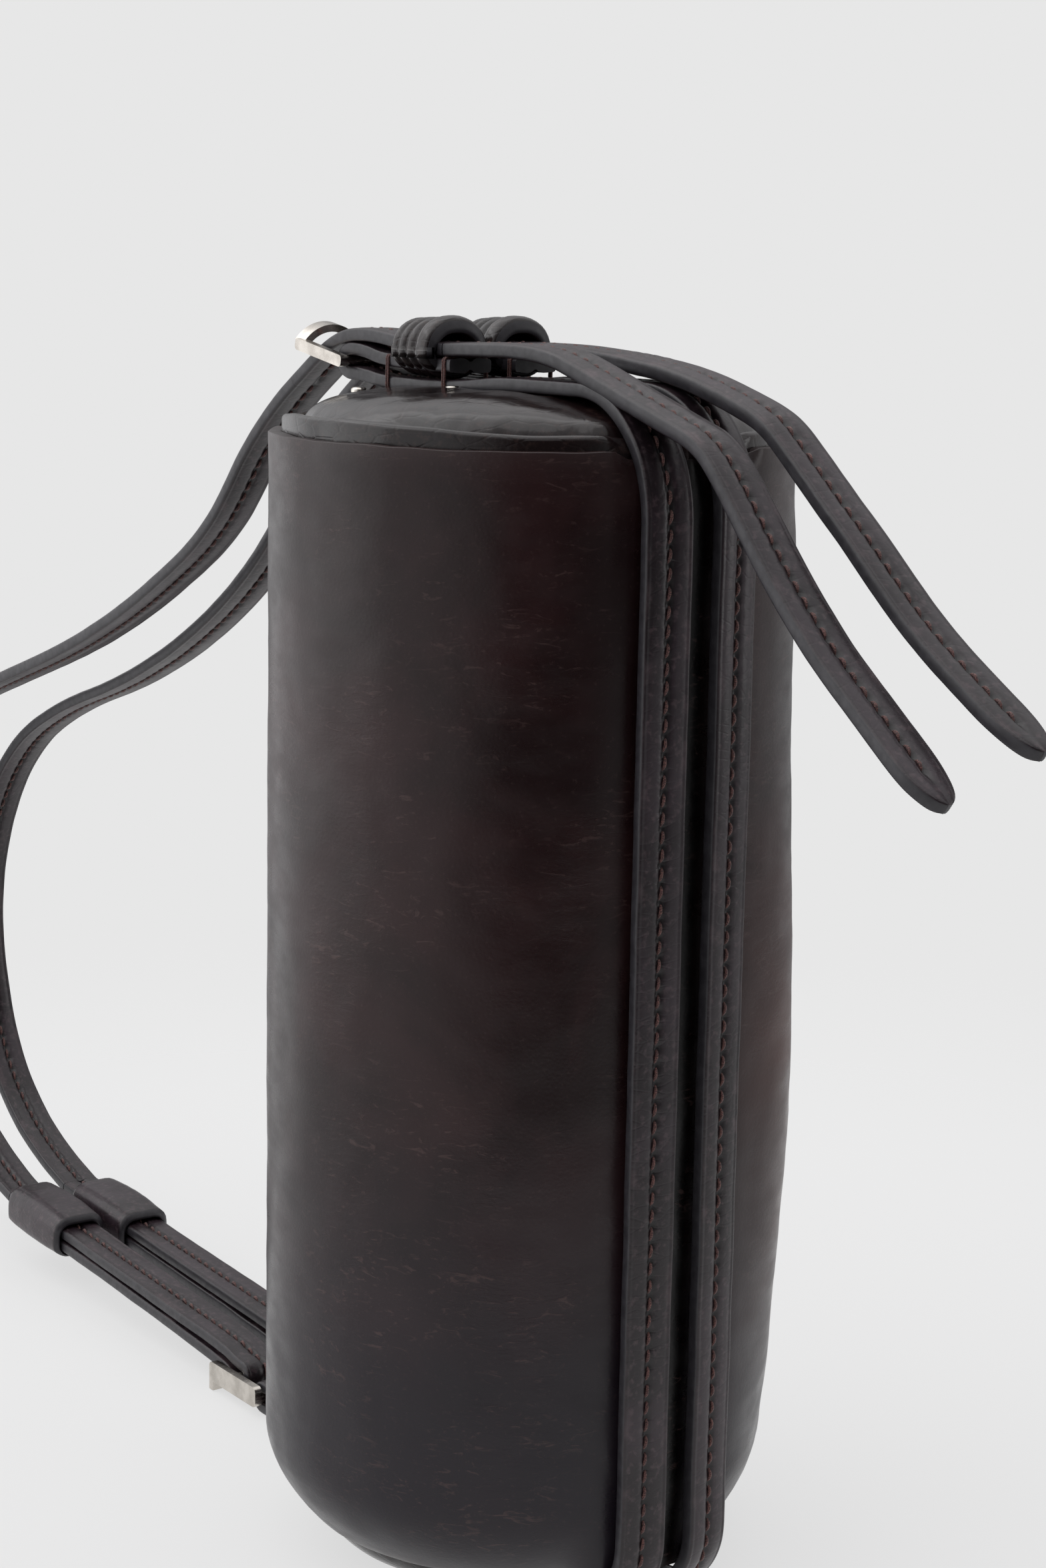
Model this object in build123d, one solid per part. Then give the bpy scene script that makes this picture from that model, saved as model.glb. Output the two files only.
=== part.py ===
"""Barrel-shaped leather handbag with a twin-strap harness, standing on one round end.

Frame, in millimetres: +Z is the barrel's axis, up. The origin is the barrel's axis at the floor.
-Y is the side with the two harness straps, which is the bag's underside in use. +Y is the side
with the zip and the shoulder straps, its top in use. "left" is -X and "right" is +X.
"""
from build123d import *
import os

# ---- driving dimensions -------------------------------------------------------------------
BODY_R = 60.0            # outside of the leather barrel
BODY_LOW = 13.0          # lower rim of the barrel
BODY_HIGH = 263.0        # upper rim of the barrel
WALL = 3.0               # leather wall with its rolled rims
RIM_ROUND = 2.6          # rounding of the rolled rim
GAP = 0.1                # air between layers that lie on each other
CLEAR = 0.3              # air between a moving piece and its neighbour

RING_R = 56.8            # outside of the piping ring inside each rim
RING_T = 2.6
RING_PROUD = 3.4         # how far each ring stands out of its rim
CUSHION_R = RING_R - RING_T - 0.3
CUSHION_ROUND = 5.0
BOTTOM_CUSHION_ROUND = 9.0
TOP_CUSHION_SIDE = 265.5
TOP_CUSHION_CREST = 272.6
BOARD_T = 1.8            # stiffening board behind each end cushion
BOARD_GAP_LOW = 17.0     # height of the bottom board's outer face
BOARD_GAP_HIGH = 258.9   # height of the top board's outer face
LINER_T = 0.6

STRAP_W = 11.5           # every strap of the harness
STRAP_T = 3.2
STRAP_X = 9.15           # each strap's centre, left and right of the middle
BAR_R = 1.15             # round bars of the buckles
FOLD_R = 2.8             # middle of a strap folded round a bar

ZIP_LOW = 44.0
ZIP_HIGH = 240.0
SLIT_HALF = 8.0          # half width of the zip's slit in the leather
TAPE_R = 56.2            # inside of the curved zip tapes
TAPE_T = 0.6
TAPE_REACH = 13.0        # how far each tape runs from the middle
TOOTH_PITCH = 2.8
TOOTH_H = 1.3            # along the zip
TOOTH_REACH = 2.6

SIDES = {"left": -1, "right": 1}


# ---- shared shapes --------------------------------------------------------------------------
def ring(outer, inner, low, high):
    """A plain tube round the Z axis."""
    height = high - low
    tube = Cylinder(outer, height) - Cylinder(inner, height + 2)
    return Pos(0, 0, (low + high) / 2) * tube


def block(x0, x1, y0, y1, z0, z1):
    """A box given by its faces."""
    middle = Pos((x0 + x1) / 2, (y0 + y1) / 2, (z0 + z1) / 2)
    return middle * Box(x1 - x0, y1 - y0, z1 - z0)


def sector(outer, inner, low, high, x0, x1, side=1):
    """The part of a tube between two X positions, on the +Y or the -Y side."""
    y0, y1 = sorted((0.0, side * (outer + 5)))
    return ring(outer, inner, low, high) & block(x0, x1, y0, y1, low - 1, high + 1)


def route_line(points, radii, x):
    """Straight runs joined by tangent arcs, in the plane at X = x."""
    places = [(x, y, z) for y, z in points]
    return FilletPolyline(*places, radius=radii)


def strap(points, radii, x, width=STRAP_W, thick=STRAP_T):
    """A flat strap along a route of (y, z) points: its thickness lies in the route's plane."""
    line = route_line(points, radii, x)
    section = Plane(origin=line @ 0, x_dir=(1, 0, 0), z_dir=line % 0) * Rectangle(width, thick)
    return sweep(section, path=line)


def x_bar(x, y, z, length, radius=BAR_R):
    """A round bar along X."""
    return Pos(x, y, z) * Rot(0, 90, 0) * Cylinder(radius, length)


def free_radii(points, most=1000.0):
    """The largest arc that each corner's two runs allow: 0.45 of the shorter, over tan(half turn)."""
    radii = []
    for before, here, after in zip(points, points[1:], points[2:]):
        first = Vector(here[0] - before[0], here[1] - before[1])
        second = Vector(after[0] - here[0], after[1] - here[1])
        half_turn = first.get_angle(second) / 2
        half_tan = Vector(1, 0).rotate(Axis.Z, half_turn)
        shorter = min(first.length, second.length)
        radii.append(min(most, 0.45 * shorter * half_tan.X / half_tan.Y))
    return radii


# ---- harness straps that run round the barrel -------------------------------------------------
TOP_BAR = (55.05, 277.6)       # heel bar of the upper buckle, (y, z)
LOW_BAR = (93.05, 4.45)        # heel bar of the lower buckle
RAIL_ROUTE = [
    (12.0, 278.0), (39.0, 278.0), (49.0, 280.45),
    (57.85, 280.45), (57.85, 274.75), (49.0, 274.75), (40.0, 273.2), (10.0, 273.2), (-6.0, 274.8),
    (-61.75, 274.8), (-61.75, 1.6),
    (95.85, 1.6), (95.85, 7.3), (88.0, 7.3), (80.0, 4.95), (64.5, 4.95),
]
RAIL_RADII = [10.0, 10.0, FOLD_R, FOLD_R, 10.0, 10.0, 20.0, 20.0, 27.0, 20.0,
              FOLD_R, FOLD_R, 6.0, 6.0]


def rail(side, width=STRAP_W, thick=STRAP_T):
    """One harness strap: buckle fold, over the upper rim, down the barrel, under, buckle fold."""
    return strap(RAIL_ROUTE, RAIL_RADII, side * STRAP_X, width, thick)


RAIL_RELIEF = [rail(side, STRAP_W + 0.4, STRAP_T + 0.3) for side in SIDES.values()]


def pressed(shape):
    """A soft part as the two harness straps press into it."""
    for relief in RAIL_RELIEF:
        shape = shape - relief
    return largest(shape)


def largest(shape):
    """The biggest solid of a shape, without the loose slivers of a cut."""
    return max(shape.solids(), key=lambda solid: solid.volume)


# ---- barrel ---------------------------------------------------------------------------------
def body_shell():
    """Leather barrel with rolled rims and the zip's slit along +Y."""
    tube = ring(BODY_R, BODY_R - WALL, BODY_LOW, BODY_HIGH)
    rims = tube.edges().filter_by(GeomType.CIRCLE).group_by(SortBy.RADIUS)[-1]
    tube = fillet(rims, RIM_ROUND)
    slit = block(-SLIT_HALF, SLIT_HALF, 0, BODY_R + 5, ZIP_LOW - 8, ZIP_HIGH + 8)
    return pressed(tube - slit)


def piping_ring(low, high, crest_at_top):
    """Thin standing ring between a rim and the end cushion, with a rounded crest."""
    tube = ring(RING_R, RING_R - RING_T, low, high)
    crest = tube.edges().filter_by(GeomType.CIRCLE).group_by(Axis.Z)[-1 if crest_at_top else 0]
    return fillet(crest, RING_T * 0.45)


def top_cushion():
    """Puffed round panel of the upper end: a soft shoulder, then a slight rise to the middle."""
    low = BOARD_GAP_HIGH + GAP
    side, radius, soft = TOP_CUSHION_SIDE, CUSHION_R, CUSHION_ROUND
    bow = soft * 0.7071
    outline = Polyline((0, TOP_CUSHION_CREST), (0, low), (radius, low), (radius, side))
    shoulder = ThreePointArc(
        (radius, side), (radius - soft + bow, side + bow), (radius - soft, side + soft))
    rise = Line((radius - soft, side + soft), (0, TOP_CUSHION_CREST))
    profile = Plane.XZ * make_face(outline + shoulder + rise)
    return revolve(profile, Axis.Z)


def bottom_cushion():
    """The same panel at the lower end, flattened by the bag's weight."""
    high, radius, soft = BOARD_GAP_LOW - GAP, CUSHION_R, BOTTOM_CUSHION_ROUND
    bow = soft * 0.7071
    outline = Polyline((radius - soft, 0), (0, 0), (0, high), (radius, high), (radius, soft))
    shoulder = ThreePointArc((radius - soft, 0), (radius - soft + bow, soft - bow), (radius, soft))
    return revolve(Plane.XZ * make_face(outline + shoulder), Axis.Z)


def disc(radius, low, thick):
    """A round board or lining panel."""
    return Pos(0, 0, low + thick / 2) * Cylinder(radius, thick)


# ---- inside ---------------------------------------------------------------------------------
STIFFENER_R = TAPE_R - GAP
STIFFENER_T = 0.9
STIFFENER_ENDS = (26.2, 249.8)     # it stops short of the piping rings
LINING_R = RING_R - RING_T - GAP
POCKET_T = 1.0
INSIDE_LOW = BOARD_GAP_LOW + BOARD_T + GAP
INSIDE_HIGH = BOARD_GAP_HIGH - BOARD_T - GAP


def slit_tube(outer, thick, low, high):
    """A liner tube with a slot for the zip."""
    slot = block(-SLIT_HALF, SLIT_HALF, 0, outer + 5, ZIP_LOW - 8, ZIP_HIGH + 8)
    return ring(outer, outer - thick, low, high) - slot


def slip_pocket():
    """Flat fabric pocket sewn to the lining, opposite the zip."""
    outer = LINING_R - LINER_T - GAP
    return sector(outer, outer - POCKET_T, 92.0, 182.0, -38.0, 38.0, side=-1)


# ---- zip ------------------------------------------------------------------------------------
TEETH_LOW_Y = TAPE_R + TAPE_T
TEETH_HIGH_Y = TEETH_LOW_Y + 1.8
SLIDER_Z = ZIP_HIGH - 9.0
SLIDER_Y = TEETH_HIGH_Y + CLEAR
SLIDER_T = 1.1
SLIDER_HALF = 4.4
PULL_PIVOT = (SLIDER_Y + SLIDER_T + 2.7, SLIDER_Z + 2.5)
PULL_DROP = 13.0         # wire loop's length, pivot to lower bar


def zip_tape(side):
    """Curved fabric tape under one edge of the slit."""
    x0, x1 = sorted((side * 0.35, side * TAPE_REACH))
    return sector(TAPE_R + TAPE_T, TAPE_R, ZIP_LOW - 6, ZIP_HIGH + 6, x0, x1)


def zip_teeth(side):
    """One row of separate metal teeth, which mesh with the other row across the middle."""
    shift = TOOTH_PITCH / 2 if side > 0 else 0.0
    count = int((ZIP_HIGH - ZIP_LOW) / TOOTH_PITCH)
    x0, x1 = sorted((-side * 0.5, side * TOOTH_REACH))
    teeth = []
    for index in range(count):
        low = ZIP_LOW + shift + index * TOOTH_PITCH
        teeth.append(block(x0, x1, TEETH_LOW_Y, TEETH_HIGH_Y, low, low + TOOTH_H))
    return Compound(children=teeth)


def zip_stops():
    """Metal staples that end the zip, one above and one below the teeth."""
    stops = []
    for low in (ZIP_LOW - 4.0, ZIP_HIGH + 1.2):
        stops.append(block(-2.6, 2.6, TEETH_LOW_Y, TEETH_HIGH_Y - 0.2, low, low + 2.4))
    return Compound(children=stops)


def zip_slider():
    """Outer plate with side flanges and a pull bridge, and the plate behind the tapes."""
    z0, z1 = SLIDER_Z - 6.5, SLIDER_Z + 6.5
    plate = block(-SLIDER_HALF, SLIDER_HALF, SLIDER_Y, SLIDER_Y + SLIDER_T, z0, z1)
    shaped = plate.edges().filter_by(Axis.Y)
    plate = fillet(shaped, 2.0)
    for side in SIDES.values():
        x0, x1 = sorted((side * (TOOTH_REACH + CLEAR), side * (SLIDER_HALF - 0.2)))
        plate += block(x0, x1, TEETH_LOW_Y + CLEAR, SLIDER_Y + 0.5, z0 + 2, z1 - 2)
    y, z = PULL_PIVOT
    arch = block(-1.0, 1.0, SLIDER_Y + SLIDER_T - 0.2, y + 2.2, z - 4.4, z + 2.6)
    arch = fillet(arch.edges().filter_by(Axis.X).group_by(Axis.Y)[-1], 1.4)
    arch -= block(-2, 2, y - 1.15, y + 1.15, z - 3.4, z + 1.25)
    back = block(-SLIDER_HALF, SLIDER_HALF, TAPE_R - 2.0, TAPE_R - 1.2, z0, z1)
    back = fillet(back.edges().filter_by(Axis.Y), 2.0)
    return Compound(children=[plate + arch, back])


def zip_ring():
    """Wire loop that hangs in the slider's bridge."""
    y, z = PULL_PIVOT
    wire = FilletPolyline(
        (-3.4, y, z), (3.4, y, z), (3.4, y, z - PULL_DROP), (-3.4, y, z - PULL_DROP),
        close=True, radius=0.95)
    start = Plane(origin=wire @ 0, z_dir=wire % 0)
    return sweep(start * Circle(0.85), path=wire)


def zip_tab():
    """Leather pull tab folded through the wire loop and sewn to itself."""
    y, z = PULL_PIVOT
    low, high = z - 48.0, z - 10.2
    leaf = block(-4.6, 4.6, y - 2.3, y + 2.3, low, high)
    leaf = fillet(leaf.edges().filter_by(Axis.Y).group_by(Axis.Z)[0], 4.2)
    leaf = fillet(leaf.edges().filter_by(Axis.X).group_by(Axis.Z)[-1], 1.6)
    bar = z - PULL_DROP
    leaf -= block(-6, 6, y - 1.05, y + 1.05, bar - 1.1, bar + 1.1)
    for side in SIDES.values():
        x0, x1 = sorted((side * 2.2, side * 6.0))
        leaf -= block(x0, x1, y - 1.05, y + 1.05, bar - 1.1, high + 1)
    return leaf


# ---- buckles, keepers and rivets ----------------------------------------------------------------
FRAME_HALF = 8.6               # half of a buckle frame's width
ARM_T = 2.0
# Rise of each upper buckle's frame towards its outer bar, degrees.
TOP_TILT = {"left": 10.0, "right": 2.5}
TOP_REACH = 18.5               # heel bar to outer bar
ARM_IN = FRAME_HALF - ARM_T


def top_buckle(name):
    """Silver frame: round heel bar, two flat arms and a bowed flat outer bar."""
    bar = x_bar(0, 0, 0, 2 * FRAME_HALF - 0.4)
    frame = bar
    for arm_side in SIDES.values():
        x0, x1 = sorted((arm_side * ARM_IN, arm_side * FRAME_HALF))
        arm = block(x0, x1, -1.6, TOP_REACH + 0.9, -1.3, 1.5)
        frame += fillet(arm.edges().filter_by(Axis.X), 1.0)
    bow = ThreePointArc(
        (-ARM_IN - 0.6, TOP_REACH, 0.4), (0, TOP_REACH, 4.4), (ARM_IN + 0.6, TOP_REACH, 0.4))
    section = Plane(origin=bow @ 0, x_dir=(0, 1, 0), z_dir=bow % 0) * Rectangle(4.0, 1.8)
    frame += sweep(section, path=bow)
    y, z = TOP_BAR
    return Pos(SIDES[name] * STRAP_X, y, z) * Rot(TOP_TILT[name], 0, 0) * frame


LOW_REACH = 21.6               # heel bar to outer bar of the lower buckle
MID_BAR = (104.0, 6.8)         # its middle bar, which holds the shoulder strap, (y, z)


def bottom_buckle(side):
    """Three-bar frame lying on the floor: heel bar, middle bar, and an upright flat outer bar."""
    x = side * STRAP_X
    y, z = LOW_BAR
    outer_y = y + LOW_REACH
    frame = x_bar(x, y, z, 2 * FRAME_HALF - 0.4)
    frame += x_bar(x, MID_BAR[0], MID_BAR[1], 2 * FRAME_HALF - 0.4)
    for arm_side in SIDES.values():
        x0, x1 = sorted((x + arm_side * ARM_IN, x + arm_side * FRAME_HALF))
        arm = block(x0, x1, y - 1.6, outer_y + 1.0, 2.6, 8.1)
        arm = fillet(arm.edges().filter_by(Axis.X), 1.4)
        frame += arm + block(x0, x1, outer_y - 1.0, outer_y + 1.0, 0.2, 5.0)
    frame += block(x - ARM_IN - 0.5, x + ARM_IN + 0.5, outer_y - 1.0, outer_y + 1.0, 0.2, 4.7)
    return frame


KEEPER_Y = (17.0, 33.0)
KEEPER_HALF = 8.7


def keeper(side):
    """Stitched leather loop on the top end, ribbed outside; its base lies in the strap's fold."""
    x = side * STRAP_X
    y0, y1 = KEEPER_Y
    outer = block(-KEEPER_HALF, KEEPER_HALF, y0, y1, 274.9, 288.4)
    outer = fillet(outer.edges().filter_by(Axis.Y).group_by(Axis.Z)[-1], 5.5)
    inner = block(-STRAP_W / 2 - 0.4, STRAP_W / 2 + 0.4, y0 - 1, y1 + 1, 276.3, 285.0)
    inner = fillet(inner.edges().filter_by(Axis.Y).group_by(Axis.Z)[-1], 3.0)
    loop = outer - inner
    rib = (y1 - y0) / 3
    for index in (1, 2):
        middle = y0 + index * rib
        loop -= block(-KEEPER_HALF - 1, KEEPER_HALF + 1, middle - 0.5, middle + 0.5, 287.7, 289)
    return Pos(x, 0, 0) * loop


RIVET_AT = [(17.0, 46.5), (17.0, 7.5)]     # (distance from the middle, y)
RIVET_Z = 272.2


def anchor_rivets():
    """Four small rivets beside the strap folds on the upper end."""
    rivets = []
    for side in SIDES.values():
        for x, y in RIVET_AT:
            low = RIVET_Z - 2.0 if y > 20 else RIVET_Z
            shank = Pos(side * x, y, low - 1.5) * Cylinder(0.9, 5.0)
            head = Pos(side * x, y, low + 1.0) * Cylinder(1.9, 1.2)
            head = fillet(head.edges().group_by(Axis.Z)[-1], 0.8)
            rivets.append(shank + head)
    return Compound(children=rivets)


# ---- shoulder straps ------------------------------------------------------------------------
# Middle lines as (y, z) points, one list for each side because the two straps lie differently.
LOOP_ROUTE = {
    "left": [
        (80.0, 271.7), (99.0, 259.8), (121.0, 232.5), (158.0, 211.0), (200.0, 192.5),
        (246.0, 177.5), (284.0, 165.0), (312.0, 134.0), (318.0, 92.0), (302.0, 50.0),
        (270.0, 24.5), (243.0, 17.9)],
    "right": [
        (80.0, 271.7), (99.0, 259.8), (123.0, 226.5), (160.0, 200.5), (203.0, 180.5),
        (246.0, 167.5), (280.0, 150.0), (304.0, 118.0), (309.0, 82.0), (296.0, 46.0),
        (268.0, 24.0), (243.0, 17.9)],
}
LEG_ROUTE = [
    (242.5, 17.87), (117.0, 12.0), (107.0, 9.65), (101.15, 9.65), (101.15, 3.95), (106.5, 3.95),
    (116.5, 8.3), (240.0, 14.1)]
LEG_RADII = [20.0, 10.0, FOLD_R, FOLD_R, 6.0, 12.0]
HEAD_ROUTE = [
    (15.3, 281.6), (36.0, 281.8), (46.0, 283.9), (60.5, 283.9), (79.95, 271.73)]
HEAD_RADII = [20.0, 14.0, 8.0]
TONGUE_ROUTE = {
    "left": [
        (14.9, 281.6), (-25.0, 282.3), (-48.0, 276.2), (-77.0, 266.0), (-98.0, 240.2),
        (-120.0, 221.5), (-146.5, 201.4)],
    "right": [
        (14.9, 281.6), (-18.0, 281.8), (-46.0, 277.9), (-77.0, 267.2), (-104.0, 243.8),
        (-128.0, 226.5), (-153.0, 211.5)],
}
TONGUE_RADII = [60.0, 60.0, 30.0, 60.0, 100.0]
TONGUE_TIP_R = 5.0


def tongue(name):
    """Free end of a shoulder strap beyond the keeper, with a bullet-shaped tip."""
    x = SIDES[name] * STRAP_X
    route = TONGUE_ROUTE[name]
    band = strap(route, TONGUE_RADII, x)
    across_thickness = band.edges().filter_by(lambda edge: edge.length < STRAP_T + 0.01)
    return fillet(across_thickness.sort_by(Axis.Y)[:2], TONGUE_TIP_R)


SLEEVE_Y = {"left": (208.0, 238.0), "right": (202.0, 232.0)}


def sleeve(name):
    """Wide leather sleeve that slides along the doubled end of a shoulder strap."""
    x = SIDES[name] * STRAP_X
    y0, y1 = SLEEVE_Y[name]
    wall, half, tall = 1.7, STRAP_W / 2 + 0.4, 3.8
    outer = Box(2 * (half + wall), y1 - y0, 2 * (tall + wall))
    outer = fillet(outer.edges().filter_by(Axis.Y), 3.2)
    inner = Box(2 * half, y1 - y0 + 2, 2 * tall)
    inner = fillet(inner.edges().filter_by(Axis.Y), 0.6)
    middle = (y0 + y1) / 2
    low_z, high_z = (LEG_ROUTE[-2][1], LEG_ROUTE[-1][1])
    run = LEG_ROUTE[-1][0] - LEG_ROUTE[-2][0]
    lean = Vector(run, high_z - low_z).get_angle(Vector(1, 0))
    z = low_z + (middle - LEG_ROUTE[-2][0]) * (high_z - low_z) / run + STRAP_T / 2 + 0.26
    return Pos(x, middle, z) * Rot(lean, 0, 0) * (outer - inner)


# ---- the whole bag --------------------------------------------------------------------------
def build():
    """Every node of the bag, by name."""
    nodes = {}
    rivets = anchor_rivets()
    nodes["body_shell"] = body_shell()
    nodes["top_piping_ring"] = pressed(piping_ring(250.0, BODY_HIGH + RING_PROUD, True))
    nodes["bottom_piping_ring"] = pressed(piping_ring(BODY_LOW - RING_PROUD, 26.0, False))
    nodes["top_cushion"] = largest(pressed(top_cushion()) - rivets)
    nodes["bottom_cushion"] = pressed(bottom_cushion())
    nodes["top_board"] = disc(CUSHION_R, BOARD_GAP_HIGH - BOARD_T, BOARD_T)
    nodes["bottom_board"] = disc(CUSHION_R, BOARD_GAP_LOW, BOARD_T)
    nodes["anchor_rivets"] = rivets
    tube_low, tube_high = INSIDE_LOW + GAP, INSIDE_HIGH - GAP
    nodes["stiffener_tube"] = slit_tube(STIFFENER_R, STIFFENER_T, *STIFFENER_ENDS)
    nodes["lining_tube"] = slit_tube(LINING_R, LINER_T, tube_low, tube_high)
    nodes["top_lining_disc"] = disc(CUSHION_R - LINER_T, INSIDE_HIGH - LINER_T, LINER_T)
    nodes["bottom_lining_disc"] = disc(CUSHION_R - LINER_T, INSIDE_LOW, LINER_T)
    nodes["slip_pocket"] = slip_pocket()
    nodes["zip_stops"] = zip_stops()
    nodes["zip_slider"] = zip_slider()
    nodes["zip_pull_ring"] = zip_ring()
    nodes["zip_pull_tab"] = zip_tab()
    for name, side in SIDES.items():
        x = side * STRAP_X
        nodes[f"zip_tape_{name}"] = zip_tape(side)
        nodes[f"zip_teeth_{name}"] = zip_teeth(side)
        nodes[f"harness_strap_{name}"] = rail(side)
        nodes[f"top_buckle_{name}"] = top_buckle(name)
        nodes[f"bottom_buckle_{name}"] = bottom_buckle(side)
        nodes[f"keeper_{name}"] = keeper(side)
        nodes[f"sleeve_{name}"] = sleeve(name)
        nodes[f"strap_head_{name}"] = strap(HEAD_ROUTE, HEAD_RADII, x)
        loop = LOOP_ROUTE[name]
        nodes[f"shoulder_strap_{name}"] = strap(loop, free_radii(loop), x)
        nodes[f"strap_leg_{name}"] = strap(LEG_ROUTE, LEG_RADII, x)
        nodes[f"strap_tongue_{name}"] = tongue(name)
    return nodes


if __name__ == "__main__":
    os.makedirs("parts", exist_ok=True)
    for node_name, shape in build().items():
        export_step(shape, f"parts/{node_name}.step")
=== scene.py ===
"""Looks of the barrel bag with its twin-strap harness: leather, thread, metal, lining and studio.

Lengths in this file are millimetres in the part's own frame, and become metres as each mesh is
made. "left" is -X and "right" is +X. The two harness straps are on the -Y side, the zip on +Y.
"""
import bmesh
import bpy
import math
from mathutils import Matrix, Vector, noise


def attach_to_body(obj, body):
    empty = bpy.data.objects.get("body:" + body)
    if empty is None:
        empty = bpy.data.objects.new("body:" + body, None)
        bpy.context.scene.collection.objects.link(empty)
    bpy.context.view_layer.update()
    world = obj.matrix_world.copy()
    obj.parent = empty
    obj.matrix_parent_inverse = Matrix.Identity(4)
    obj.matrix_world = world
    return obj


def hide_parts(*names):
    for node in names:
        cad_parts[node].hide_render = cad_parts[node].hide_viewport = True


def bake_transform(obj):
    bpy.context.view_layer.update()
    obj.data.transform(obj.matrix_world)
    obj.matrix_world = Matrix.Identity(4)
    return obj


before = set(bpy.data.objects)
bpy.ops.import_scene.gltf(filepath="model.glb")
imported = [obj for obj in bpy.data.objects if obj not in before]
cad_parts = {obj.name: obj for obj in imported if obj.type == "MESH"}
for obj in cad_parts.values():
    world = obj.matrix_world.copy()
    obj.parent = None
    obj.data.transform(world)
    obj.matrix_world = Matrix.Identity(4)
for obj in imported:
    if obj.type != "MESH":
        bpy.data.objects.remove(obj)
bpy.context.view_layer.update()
MM = 0.001
SIDES = {"left": -1, "right": 1}

# ---- sizes shared with the part -------------------------------------------------------------
BODY_R = 60.0
BODY_LOW, BODY_HIGH = 13.0, 263.0
WALL = 3.0
STRAP_W, STRAP_T = 11.5, 3.2
STRAP_X = 9.15
SLIT_HALF = 8.0
SLIT_LOW, SLIT_HIGH = 36.0, 248.0
STITCH = 4.0                      # hole to hole
STITCH_INSET = 6.5                # the thread stops this far from a strap's tip

# Middle lines of the straps as (y, z) control points.
LOOP_ROUTE = {
    "left": [
        (80.0, 271.7), (99.0, 259.8), (121.0, 232.5), (158.0, 211.0), (200.0, 192.5),
        (246.0, 177.5), (284.0, 165.0), (312.0, 134.0), (318.0, 92.0), (302.0, 50.0),
        (270.0, 24.5), (243.0, 17.9)],
    "right": [
        (80.0, 271.7), (99.0, 259.8), (123.0, 226.5), (160.0, 200.5), (203.0, 180.5),
        (246.0, 167.5), (280.0, 150.0), (304.0, 118.0), (309.0, 82.0), (296.0, 46.0),
        (268.0, 24.0), (243.0, 17.9)],
}
LEG_ROUTE = [
    (242.5, 17.87), (117.0, 12.0), (107.0, 9.65), (101.15, 9.65), (101.15, 3.95), (106.5, 3.95),
    (116.5, 8.3), (240.0, 14.1)]
HEAD_ROUTE = [
    (15.3, 281.6), (27.0, 281.6), (38.0, 283.2), (48.0, 284.0), (56.0, 283.6), (62.5, 281.6),
    (70.0, 277.9), (79.95, 271.73)]
TONGUE_ROUTE = {
    "left": [
        (14.9, 281.6), (0.0, 282.0), (-15.0, 282.1), (-26.0, 280.9), (-35.2, 278.1),
        (-46.2, 274.5), (-57.2, 271.2), (-67.9, 267.8), (-74.0, 266.0), (-80.0, 261.8),
        (-88.8, 251.9), (-98.8, 240.5), (-112.0, 227.8), (-127.0, 216.2), (-147.0, 201.6)],
    "right": [
        (14.9, 281.6), (0.0, 281.7), (-12.0, 281.2), (-27.0, 279.9), (-42.0, 278.3),
        (-55.0, 275.4), (-68.6, 271.4), (-75.2, 268.7), (-82.0, 263.2), (-90.0, 256.5),
        (-101.0, 247.8), (-113.4, 236.9), (-121.1, 230.7), (-135.0, 221.8), (-153.4, 211.1)],
}
RAIL_ROUTE = [
    (12.0, 278.0), (39.0, 278.0), (49.0, 280.45), (57.85, 280.45), (57.85, 274.75), (49.0, 274.75),
    (40.0, 273.2), (24.0, 273.0), (10.0, 273.2), (-6.0, 274.8), (-23.6, 274.8), (-45.6, 274.8),
    (-61.07, 259.0), (-61.07, 236.6), (-61.07, 29.9), (-61.07, 13.3), (-49.4, 1.6), (-32.8, 1.6),
    (90.25, 1.6), (95.85, 1.6), (95.85, 7.3), (88.0, 7.3), (80.0, 4.95), (64.5, 4.95)]
RIM_ARC = (-34.1, 247.8, 25.1)    # (y, z, radius) of a harness strap's inner face at the rim
FOOT_ARC = (-41.1, 21.6, 18.2)    # the same at the lower rim


# ---- small helpers ------------------------------------------------------------------------------
def smooth(low, high, value):
    """0 below low, 1 above high, with an S-shaped run between them."""
    share = min(1.0, max(0.0, (value - low) / (high - low)))
    return share * share * (3 - 2 * share)


def rough(point, size, seed=0.0, octaves=3):
    """Smooth noise of about -1 to 1, with lumps of the given size in millimetres."""
    place = Vector(point) / size + Vector((seed, 1.7 * seed, -0.9 * seed))
    return noise.fractal(place, 0.9, 2.0, octaves)


FLOOR_SKIN = 0.03         # lowest height of a strap or thread point, millimetres


def on_floor(point):
    """The point, lifted to the floor where it would go through it."""
    return Vector((point.x, point.y, max(FLOOR_SKIN, point.z)))


def mesh_object(name, verts, faces, materials, slots=None):
    """A smooth-shaded mesh from points in millimetres, with its normals outwards."""
    mesh = bpy.data.meshes.new(name)
    mesh.from_pydata([Vector(v) * MM for v in verts], [], faces)
    for material in materials:
        mesh.materials.append(material)
    if slots:
        mesh.polygons.foreach_set("material_index", slots)
    shape = bmesh.new()
    shape.from_mesh(mesh)
    bmesh.ops.recalc_face_normals(shape, faces=shape.faces)
    shape.to_mesh(mesh)
    shape.free()
    mesh.shade_smooth()
    made = bpy.data.objects.new(name, mesh)
    bpy.context.scene.collection.objects.link(made)
    return made


def joined_rings(rings, closed=False):
    """Faces between neighbouring rings of points, which all have the same count."""
    count = len(rings[0])
    total = len(rings)
    faces = []
    for row in range(total if closed else total - 1):
        a, b = row * count, ((row + 1) % total) * count
        for j in range(count):
            k = (j + 1) % count
            faces.append((a + j, a + k, b + k, b + j))
    return faces


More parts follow.
